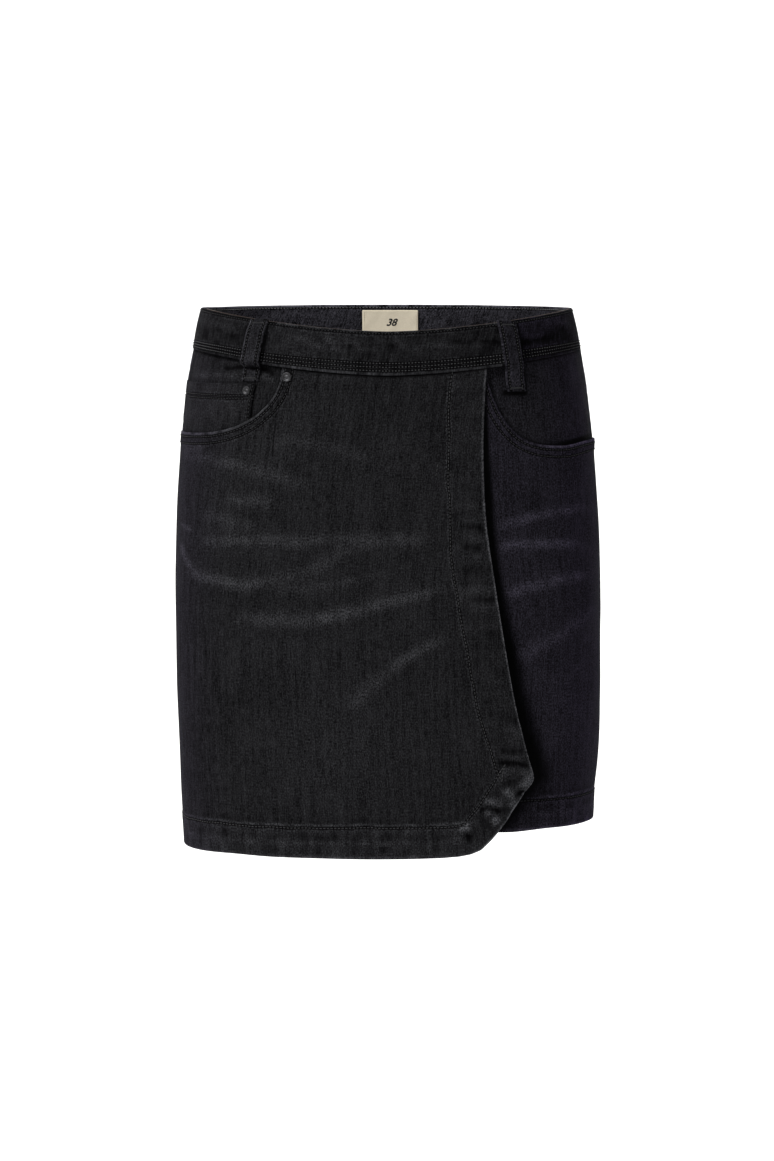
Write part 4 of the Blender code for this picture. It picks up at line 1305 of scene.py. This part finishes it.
BAND_WALL = 0.0026
WRAP_BAND_WALL = 0.0022
BAND_LIFT = 0.0012
WRAP_BAND_LIFT = 0.0037
BAND_STEP = 0.0022           # the back band thickens by this to meet the wrap's band
BAND_ROLL = 0.0009           # a band's folded edges are this round
BAND_ROWS = (0.0036, 0.0067, 0.0098)       # rows of stitches above the seam at the centre
TOP_ROW = 0.0019             # the row below the top edge
SIDE_SQUEEZE = 0.30          # the rows run this much closer together at the sides
BAND_CREASES = (             # as the wrap's; the last three are on the shorts' front band
    (-0.076, -0.005, -0.06, -0.011, 0.001, 0.003, 0.0006),
    (-0.064, -0.013, -0.05, -0.014, 0.001, 0.0022, 0.0004),
    (-0.056, -0.003, -0.044, -0.011, 0.001, 0.0028, 0.0006),
    (-0.048, -0.014, -0.033, -0.017, 0.001, 0.0022, 0.0005),
    (-0.03, -0.006, -0.02, -0.018, 0.001, 0.0025, 0.0004),
    (0.005, -0.006, 0.02, -0.016, 0.001, 0.003, 0.0004),
    (0.03, -0.012, 0.064, -0.013, 0.001, 0.0022, 0.0004),
    (0.056, -0.008, 0.096, -0.009, 0, 0.0026, -0.0005),
    (-0.16, 0.006, -0.125, 0.001, 0.002, 0.003, 0.0004),
    (-0.155, -0.002, -0.12, -0.004, 0.001, 0.0026, -0.0001),
    (0.13, 0.006, 0.152, 0.008, 0.001, 0.004, 0.0007),
    (0.105, -0.0102, 0.142, -0.0064, 0.001, 0.0028, -0.0012),
    (0.144, 0.004, 0.153, -0.006, 0, 0.003, -0.0004),
)
BAND_TONES = (               # x, how much paler the band is there than its cloth
    (-0.165, -0.05), (-0.14, -0.055), (-0.105, -0.045), (-0.085, -0.01), (-0.05, 0.01),
    (-0.025, -0.028), (0.08, -0.032), (0.12, -0.03), (0.15, -0.065), (0.165, -0.075),
)
BAND_INSIDE_PALE_AND_LIT = (              # x, how many times paler the inside of the back band is: its pale weft, with painted light strongest at the wearer's right
    (-0.16, 10.0), (-0.12, 8.8), (-0.094, 4.6), (-0.067, 3.0), (-0.04, 2.3), (0.04, 2.5),
    (0.07, 1.7), (0.1, 1.1), (0.13, 1.3),
)
RUB_END = 0.092              # the front bands' edges are worn pale this far from the centre


def torso(face):
    """The waist on one face of the body, from the right side seam round to the left."""
    def place(share, height):
        x, y = ring(0, *section(face, height), math.pi * share)
        return np.stack([-x, face * (y + SEAM_GAP / 2), height + 0 * x], -1)
    return Surface(place, -face)


front_waist, back_waist = torso(-1), torso(1)


def band_line(surface, end_share, height):
    """A line along a band: the height is worked out from the distance to the centre line."""
    shares, v = surface.waist_line(np.linspace(0.002, end_share - 0.002, 300), height).T
    return pairs(shares * surface.girth(v), v)


def band_inside_pale_and_lit(u, v):
    """The back band's inside: its paler weft, with painted light strongest at the wearer's right."""
    return straight(BAND_INSIDE_PALE_AND_LIT, back_waist.across(u, v))


def band(node_name, surface, top, seam, lift, wall, end_share, creases, seed, cast):
    """One band of the waist from the right side seam to a share of the way round."""
    in_front = surface is front_waist
    rows = [band_line(surface, end_share, lambda x, rise=rise: (
        seam(x) + rise * (1 - SIDE_SQUEEZE * to_side(x) ** 2))) for rise in BAND_ROWS]
    rows.append(band_line(surface, end_share, lambda x: top(x) - TOP_ROW))
    shares = np.linspace(0, end_share, 230)
    top_line = surface.waist_line(shares, lambda x: top(x) - BAND_ROLL)
    foot_line = surface.waist_line(shares, lambda x: seam(x) + BAND_ROLL)
    rubbed = (np.abs(surface.across(shares * surface.girth(0.0), 0.0)) < RUB_END) | (not in_front)
    edges = [pairs(shares * surface.girth(line[:, 1]), line[:, 1] + roll)[rubbed]
             for line, roll in ((top_line, BAND_ROLL), (foot_line, -BAND_ROLL))]
    worn_edges = {"waistband_front": 0, "waistband_back": 1, "waistband_wrap": 2}

    def above(u, v, row):
        return v - np.interp(u, row[:, 0], row[:, 1])

    def stitched(u, v):
        low, middle, high = (above(u, v, row) for row in rows[:3])
        below_top = -above(u, v, rows[3])
        return (low, middle, np.where(high < below_top, high, below_top))

    def relief(u, v):
        dips = sum(bell(above(u, v, row), 0.0009) for row in rows)
        over_seam = above(u, v, rows[0])
        return (ridges(creases, surface.across(u, v), v) - 0.00025 * dips
                + seam_pucker(over_seam, u, seed, 0.00025)
                + 0.0003 * uneven(u, v, 0.05, seed + 1))

    def fade(u, v):
        x = surface.across(u, v)
        stitched_part = 1 - ease((above(u, v, rows[2]) - 0.001) / 0.002)
        # the back band is darker on its lower part: painted shade below the front band's edge
        tone = (straight(BAND_TONES, x) if in_front
                else -0.022 * ease((top(x) - v - 0.009) / 0.008))
        # crease crests are paler, as worn, and their hollows darker: painted shade
        return (150 * ridges(creases, x, v) - 0.030 * stitched_part + tone
                + 0.020 * uneven(u, 2.5 * v, 0.06, seed + 2)
                + 0.022 * uneven(u, 2.2 * v, 0.020, seed + 5))

    # painted shadow of the left loop on the front band
    def unworn(u, v):
        if node_name != "waistband_front":
            return plain(u, v)
        return 0.9 * beside_left_loop(surface.across(u, v), v)[1]

    panel = Panel(node_name, surface, lift, wall, relief, fade, edges[:worn_edges[node_name]],
                  50.0 + seed, stitched, (cast, cast), unworn,
                  INSIDE_PALER if in_front else band_inside_pale_and_lit)
    panel.cut_between(top_line, foot_line, np.linspace(0, 1, 44), black_denim)
    cover = 0.45 if node_name == "waistband_front" else 0.66       # of a stitch that shows
    threads = [stitching(node_name + "_stitching", panel, rows[:3], grey_thread,
                         0.0027, 0.0009, cover),
               stitching(node_name + "_edge_stitching", panel, rows[3:], black_thread,
                         0.0027, 0.0008, 0.60)]
    return panel, threads, rows[3]


def back_band_lift(u, v):
    return BAND_LIFT + BAND_STEP * ease(1 - u / STEP_REACH)


pale_thread = thread_finish("pale_cotton", (0.060, 0.060, 0.062, 1), (0.200, 0.200, 0.205, 1))
wrap_band_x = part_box("waistband_wrap")[1][0]
wrap_band_share = float(front_waist.reach(wrap_band_x, 0.0)[0] / front_waist.girth(0.0))
for name, surface, top, seam, lift, wall, end_share, creases, seed, cast, held_by in (
        ("waistband_front", front_waist, front_top, front_seam, BAND_LIFT, BAND_WALL, 1.0,
         BAND_CREASES[-3:], 1, 0.8, "front_left"),
        ("waistband_back", back_waist, back_top, back_seam, back_band_lift, BAND_WALL, 1.0,
         BAND_CREASES[3:5], 2, 0.2, "back_left"),
        ("waistband_wrap", front_waist, front_top, wrap_band_seam, WRAP_BAND_LIFT, WRAP_BAND_WALL,
         wrap_band_share, BAND_CREASES, 3, 0.0, "waistband_front")):
    panel, threads, top_row = band(name, surface, top, seam, lift, wall, end_share, creases, seed,
                                   cast)
    if name == "waistband_back":
        inner_face = Panel(name, surface, lambda u, v: back_band_lift(u, v) - BAND_WALL - 0.0004,
                           BAND_WALL)
        threads.append(stitching("waistband_back_inner_stitching", inner_face, [top_row],
                                 pale_thread, 0.0030, 0.0010, 0.56))
    panel.declare("black_denim", "stretched", [held_by], threads)

# ------------------------------------------------------------------ tape and label
# A thin brown woven tape binds the inside of the front band, and its fold shows above the edge.
# A cream woven label, 50 by 30 mm, is sewn inside the back band with a plain size number.

TAPE_SHOWS, TAPE_TUCK, TAPE_WALL = 0.0007, 0.0080, 0.0010    # above and below the band's top
LABEL_WALL, LABEL_GAP = 0.0010, 0.0005
LABEL_SHARE = 0.965          # its cloth is this much of the solid's width
LABEL_TACK = 0.0012          # its stitching is this far in from its ends
NUMBER_DOWN = 0.0105         # the size number's middle below the label's top


def woven(name, color, light, threads):
    """Plain weave of thick and thin threads, for tape and labels."""
    material, tree, shader = finish(name, 0.8, 0.25)
    cloth = kept(tree, "cloth", "Vector")
    waves = [node(tree, "TexWave", {"Vector": scaled(tree, cloth, (threads, threads, 0)),
                                    "Scale": 1.0, "Distortion": 0.8}, bands_direction=way)["Fac"]
             for way in ("X", "Y")]
    soft = grain(tree, cloth, (600, 600, 1))
    tone = weighed(tree, [(waves[0], 0.30), (waves[1], 0.30), (soft, 0.55)], -0.05)
    colored(tree, shader, blend(tree, tone, color, light))
    roughened(tree, shader, tone, 0.5, 0.0002)
    return material


brown_tape = woven("brown_woven_tape", (0.022, 0.0110, 0.0052, 1), (0.066, 0.035, 0.017, 1), 500)
cream_label = woven("cream_woven_label", (0.660, 0.570, 0.410, 1), (0.920, 0.840, 0.680, 1), 420)

tape = Panel("waist_tape", front_waist, BAND_LIFT - BAND_WALL - SEAM_GAP, TAPE_WALL,
             lambda u, v: 0.0001 * uneven(u, v, 0.02, 41), seed=60.0)
tape_top, tape_foot = (front_waist.waist_line(np.linspace(0, 1, 200), height) for height in (
    lambda x: front_top(x) + TAPE_SHOWS - TAPE_WALL / 2,
    lambda x: front_top(x) - TAPE_TUCK + TAPE_WALL / 2))
tape.cut_between(tape_top, tape_foot, np.linspace(0, 1, 12), brown_tape)

label_low, label_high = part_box("waist_label")
label_top, label_foot = label_high[2], label_low[2]
label_level = (label_top + label_foot) / 2
label_share = back_waist.reach((label_low[0] + label_high[0]) / 2, label_level)[0]
label_share = float(label_share / back_waist.girth(label_level))
label_half = LABEL_SHARE * (label_high[0] - label_low[0]) / 2
label_lift = BAND_LIFT - BAND_WALL - LABEL_GAP
label = Panel("waist_label", back_waist, label_lift, LABEL_WALL,
              lambda u, v: 0.00012 * uneven(u, v, 0.02, 43), seed=61.0)
v = np.linspace(label_top, label_foot, 40)[:, None] + np.zeros(60)
u = label_share * back_waist.girth(v) + np.linspace(-label_half, label_half, 60)
label.cut(u, v, cream_label)
cream_thread = thread_finish("cream_thread", (0.45, 0.39, 0.28, 1), (0.68, 0.61, 0.48, 1))
inside_label = Panel("waist_label", back_waist, label_lift - LABEL_WALL, LABEL_WALL)
levels = np.linspace(label_top - 0.001, label_foot + 0.001, 30)
tacks = [pairs(label_share * back_waist.girth(levels) + across, levels)
         for across in (LABEL_TACK - label_half, label_half - LABEL_TACK)]
label_thread = stitching("waist_label_stitching", inside_label, tacks, cream_thread,
                         0.0022, 0.0004)
label.flat = (2 * label_half, label_top - label_foot)
label.declare("cream_label", "hung", ["waistband_back"], [label_thread])

# The size number is drawn flat, then laid on the label's face as dark weft.
figures = bpy.data.curves.new("size_figures", "FONT")
figures.body, figures.size, figures.offset = "38", 0.0088, 0.00022
figures.align_x, figures.align_y = "CENTER", "CENTER"
drawing = bpy.data.objects.new("size_figures", figures)
number_mesh = bpy.data.meshes.new_from_object(drawing)
bpy.data.objects.remove(drawing)
flat = np.array([tuple(point.co) for point in number_mesh.vertices])
u = label_share * back_waist.girth(label_level) + flat[:, 0]
laid = back_waist.lifted(u, label_top - NUMBER_DOWN + flat[:, 1],
                         label_lift - LABEL_WALL - 0.0002)
number_mesh.vertices.foreach_set("co", laid.ravel())
number_mesh.materials.clear()
number_mesh.materials.append(black_thread)
number = add("size_number", number_mesh)
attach(number, "root")

# ------------------------------------------------------------------ belt loops
# Five loops, 17 mm wide, of denim folded in three and stitched along both sides. Each one is
# bar-tacked on the band at its top, stands off it and is tacked again below the seam.

LOOP_WIDTH = 0.0172
LOOP_WALL = 0.0015
LOOP_SIDE_ROW = 0.0023       # rows of stitches in from the loop's sides
TACK_WIDTH, TACK_HEIGHT, TACK_PITCH = 0.0112, 0.0019, 0.00052
BACKING_FACE = COIN_LIFT - POCKET_WALL - SEAM_GAP
LOOPS = (     # node, surface, x at top and foot, lift of band and of lower cloth, stand, tuck, painted sheen
    ("belt_loop_front_right", front_waist, -0.1060, -0.1167, WRAP_BAND_LIFT, BACKING_FACE,
     0.0030, 1, 0.1),
    ("belt_loop_front_left", front_waist, LEFT_LOOP[0][0], LEFT_LOOP[1][0], WRAP_BAND_LIFT,
     LEFT_BACKING_LIFT + 0.0026, 0.0014, 0, 0.3),
    ("belt_loop_back_right", back_waist, -0.1242, -0.1305, BAND_LIFT, 0.0, 0.0026, 1, 0.2),
    ("belt_loop_back_centre", back_waist, 0.0, 0.0, BAND_LIFT, 0.0, 0.0026, 1, 0.2),
    ("belt_loop_back_left", back_waist, 0.1244, 0.1305, BAND_LIFT, 0.0, 0.0026, 1, 0.2),
)


def belt_loop(name, surface, top_x, foot_x, band_lift, foot_lift, stand, tucked, cast, seed):
    """One loop; a tucked one dives in below the seam, the others come down to the cloth slowly."""
    low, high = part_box(name)
    front = surface is front_waist
    below_edge = 0.0008 if front else 0.0030             # its upper fold below the solid's
    top, foot = high[2] - LOOP_WALL / 2 - below_edge, low[2] + LOOP_WALL / 2
    seam = (front_seam if front else back_seam)((top_x + foot_x) / 2)
    half = LOOP_WIDTH / 2 - LOOP_WALL / 2
    levels = np.linspace(foot, top, 40)
    middle = surface.reach(foot_x + (top_x - foot_x) * np.linspace(0, 1, 40), levels)

    def across(u, v):
        return u - np.interp(v, levels, middle)

    def lift(u, v):
        along = np.clip((top - v) / (top - seam), 0, 1)
        upper = band_lift + stand * ease(along / 0.35)
        dropped = ease((seam - 0.0010 - v) / 0.0050) if tucked else ease((seam - v) / 0.016)
        return SEAM_GAP + LOOP_WALL + upper * (1 - dropped) + foot_lift * dropped

    def stitched(u, v):
        return (np.abs(across(u, v)) - half + LOOP_SIDE_ROW, FAR, FAR)

    def relief(u, v):
        a = across(u, v)
        tacks = sum(bell(v - z, 0.0012) for z in (top - 0.0030, foot + 0.0028))
        tuck = bell(v - seam + 0.0062 + 0.10 * a, 0.0010)
        return (-0.0002 * tacks - 0.0009 * tucked * tuck + 0.0002 * np.cos(a / half * math.pi / 2)
                + 0.00018 * uneven(u, v, 0.012, seed))

    def fade(u, v):
        # painted highlight where the loop bulges towards the light and down its lit left fold;
        # painted shade in the fold of its tuck
        tuck = bell(v - seam + 0.0058 + 0.10 * across(u, v), 0.0016)
        painted_highlight = (0.035 * bell(v - seam - 0.0060, 0.0080) if tucked
               else 0.11 * bell(v - seam + 0.0120, 0.0065) - 0.01)
        fold = (0.14 if tucked else 0.03) * bell(across(u, v) + half, 0.0010)
        return (0.010 + 0.025 * uneven(u, v, 0.02, seed) + painted_highlight + fold - 0.19 * tucked * tuck)

    panel = Panel(name, surface, lift, LOOP_WALL, relief, fade, (), 70.0 + seed, stitched,
                  (cast, cast))
    v = np.linspace(top, foot, 100)[:, None] + np.zeros(21)
    u = np.interp(v, levels, middle) + np.linspace(-half, half, 21)
    panel.cut(u, v, black_denim)

    rows = [pairs(middle + side * (half - LOOP_SIDE_ROW), levels) for side in (-1, 1)]
    thread = stitching(name + "_stitching", panel, rows, grey_thread, 0.0027, 0.0005, 0.60)
    tacks = []
    for z in (top - 0.0038, foot + 0.0014):
        for k in range(int(TACK_WIDTH / TACK_PITCH)):
            a = np.interp(z, levels, middle) - TACK_WIDTH / 2 + k * TACK_PITCH
            tacks.append(np.array(((a, z), (a + TACK_PITCH * 0.6, z + TACK_HEIGHT))))
    bar = stitching(name + "_bar_tacks", panel, tacks, black_thread, TACK_HEIGHT, 0.00055)
    panel.flat = (2 * half, float(top - foot))
    panel.declare("black_denim", "hung", ["waistband_wrap" if front else "waistband_back"],
                  [thread, bar])


for seed, loop in enumerate(LOOPS):
    belt_loop(*loop, seed + 1)

# ------------------------------------------------------------------ rivets
# Two dull grey rivets hold the corners of the pocket mouth and the coin pocket. Each is a pressed
# cap with a rolled rim, a sunk ring and a small raised centre.

RIVET_TURNS = 48             # points round the cap
CAP_SHARE = 0.94             # the cap is this much of the solid's width
RIVET_PROFILE = (            # share of the radius, height above the cloth
    (1.0, -0.0002), (1.02, 0.0003), (0.98, 0.0008), (0.91, 0.0011), (0.82, 0.00105),
    (0.7, 0.0007), (0.58, 0.00042), (0.46, 0.0003), (0.36, 0.00036), (0.26, 0.00048),
    (0.16, 0.00054), (0.08, 0.00056), (0, 0.00056),
)


def dull_metal(name):
    """Tumbled metal: grey, a little tarnished, with fine scratches."""
    material, tree, shader = finish(name, 0.42, 0.5)
    shader.inputs["Metallic"].default_value = 1.0
    place = node(tree, "TexCoord", {})["Object"]
    tarnish = grain(tree, place, (700, 700, 700))
    rough = node(tree, "MapRange", {0: tarnish, 3: 0.32, 4: 0.62})["Result"]
    tree.links.new(rough, shader.inputs["Roughness"])
    colored(tree, shader, blend(tree, tarnish, (0.018, 0.018, 0.019, 1), (0.075, 0.075, 0.078, 1)))
    roughened(tree, shader, tarnish, 0.25, 0.0001)
    return material


grey_metal = dull_metal("dull_grey_metal")


def rivet(name, panel_lift, across=0.0, down=0.0):
    """A cap that sits square on the cloth, moved a little from the middle of its solid."""
    low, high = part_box(name)
    x, height = (low[0] + high[0]) / 2 + across, (low[2] + high[2]) / 2 - down
    radius = CAP_SHARE * (high[2] - low[2]) / 2
    u = wrap_surface.reach(x, height)
    seat = wrap_surface.lifted(u, np.array([height]), np.array([panel_lift + 0.0004]))[0]
    out = wrap_surface.normal(u, np.array([height]))[0]
    turns = np.arange(RIVET_TURNS) * 2 * math.pi / RIVET_TURNS
    points = [(r * radius * math.cos(t), r * radius * math.sin(t), h)
              for r, h in RIVET_PROFILE[:-1] for t in turns]
    points.append((0, 0, RIVET_PROFILE[-1][1]))
    faces = [(k + i, k + (i + 1) % RIVET_TURNS, k + RIVET_TURNS + (i + 1) % RIVET_TURNS,
              k + RIVET_TURNS + i)
             for k in range(0, len(points) - 1 - RIVET_TURNS, RIVET_TURNS)
             for i in range(RIVET_TURNS)]
    last = len(points) - 1
    faces += [(last - RIVET_TURNS + i, last - RIVET_TURNS + (i + 1) % RIVET_TURNS, last)
              for i in range(RIVET_TURNS)]
    faces.append(tuple(range(RIVET_TURNS))[::-1])
    turn = Vector(out).to_track_quat("Z", "Y")
    points = [turn @ Vector(p) + Vector(seat) for p in points]
    piece = made_of(name + "_cap", points, faces, grey_metal)
    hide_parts(name)
    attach(piece, "root")


rivet("rivet_pocket", WRAP_LIFT, across=0.0015, down=0.0005)
rivet("rivet_coin", COIN_LIFT, across=0.0004)

# ------------------------------------------------------------------ stage, light and camera
# A plain white studio: a pale floor that sweeps up behind, a soft light from the upper left and
# another on the backdrop, even light from all round and a long lens a little above the waist.

FLOOR = -1.05
SWEEP_BACK, SWEEP_RADIUS, STAGE_HALF, STAGE_FRONT, STAGE_TOP = 4.0, 1.2, 9.0, -9.0, 6.0
pale, _, pale_shader = finish("pale_studio_paper", 0.9, 0.1)
pale_shader.inputs["Base Color"].default_value = (0.90, 0.90, 0.90, 1)
turns = np.radians(np.linspace(0, 90, 17))
profile = [(STAGE_FRONT, FLOOR)]
profile += [(SWEEP_BACK + SWEEP_RADIUS * math.sin(t), FLOOR + SWEEP_RADIUS * (1 - math.cos(t)))
            for t in turns]
profile += [(SWEEP_BACK + SWEEP_RADIUS, STAGE_TOP)]
points = [(x, y, z) for y, z in profile for x in (-STAGE_HALF, STAGE_HALF)]
quads = [(k, k + 1, k + 3, k + 2) for k in range(0, len(points) - 2, 2)]
sweep = made_of("studio_sweep", points, quads, pale)

world = bpy.data.worlds.new("studio")
world.use_nodes = True
sky = world.node_tree.nodes["Background"].inputs
sky["Color"].default_value = (1.0, 1.0, 1.0, 1)
sky["Strength"].default_value = 0.36
bpy.context.scene.world = world


def soft_light(name, place, target, size, power):
    light = bpy.data.lights.new(name, "AREA")
    light.size, light.energy = size, power
    lamp = add(name, light)
    lamp.location = place
    aim = Vector(target) - Vector(place)
    lamp.rotation_euler = aim.to_track_quat("-Z", "Y").to_euler()


MIDDLE = (0.0, 0.0, -0.2)
soft_light("key_light", (-2.4, -2.5, 2.6), MIDDLE, 1.0, 205)
soft_light("backdrop_light", (0.0, 2.6, 2.2), (0.0, 3.6, -1.0), 2.4, 150)

CAMERA_BACK = 3.6
CAMERA_HEIGHT = 0.0817
CAMERA_PITCH = 4.7509        # degrees below level
camera_data = bpy.data.cameras.new("camera")
camera_data.lens = 129.05
camera_data.sensor_width = 36.0
camera = add("camera", camera_data)
camera.location = (-0.0009, -CAMERA_BACK, CAMERA_HEIGHT)
camera.rotation_euler = (math.radians(90 - CAMERA_PITCH), 0, 0)
bpy.context.scene.camera = camera
bpy.context.scene.view_settings.view_transform = "Standard"
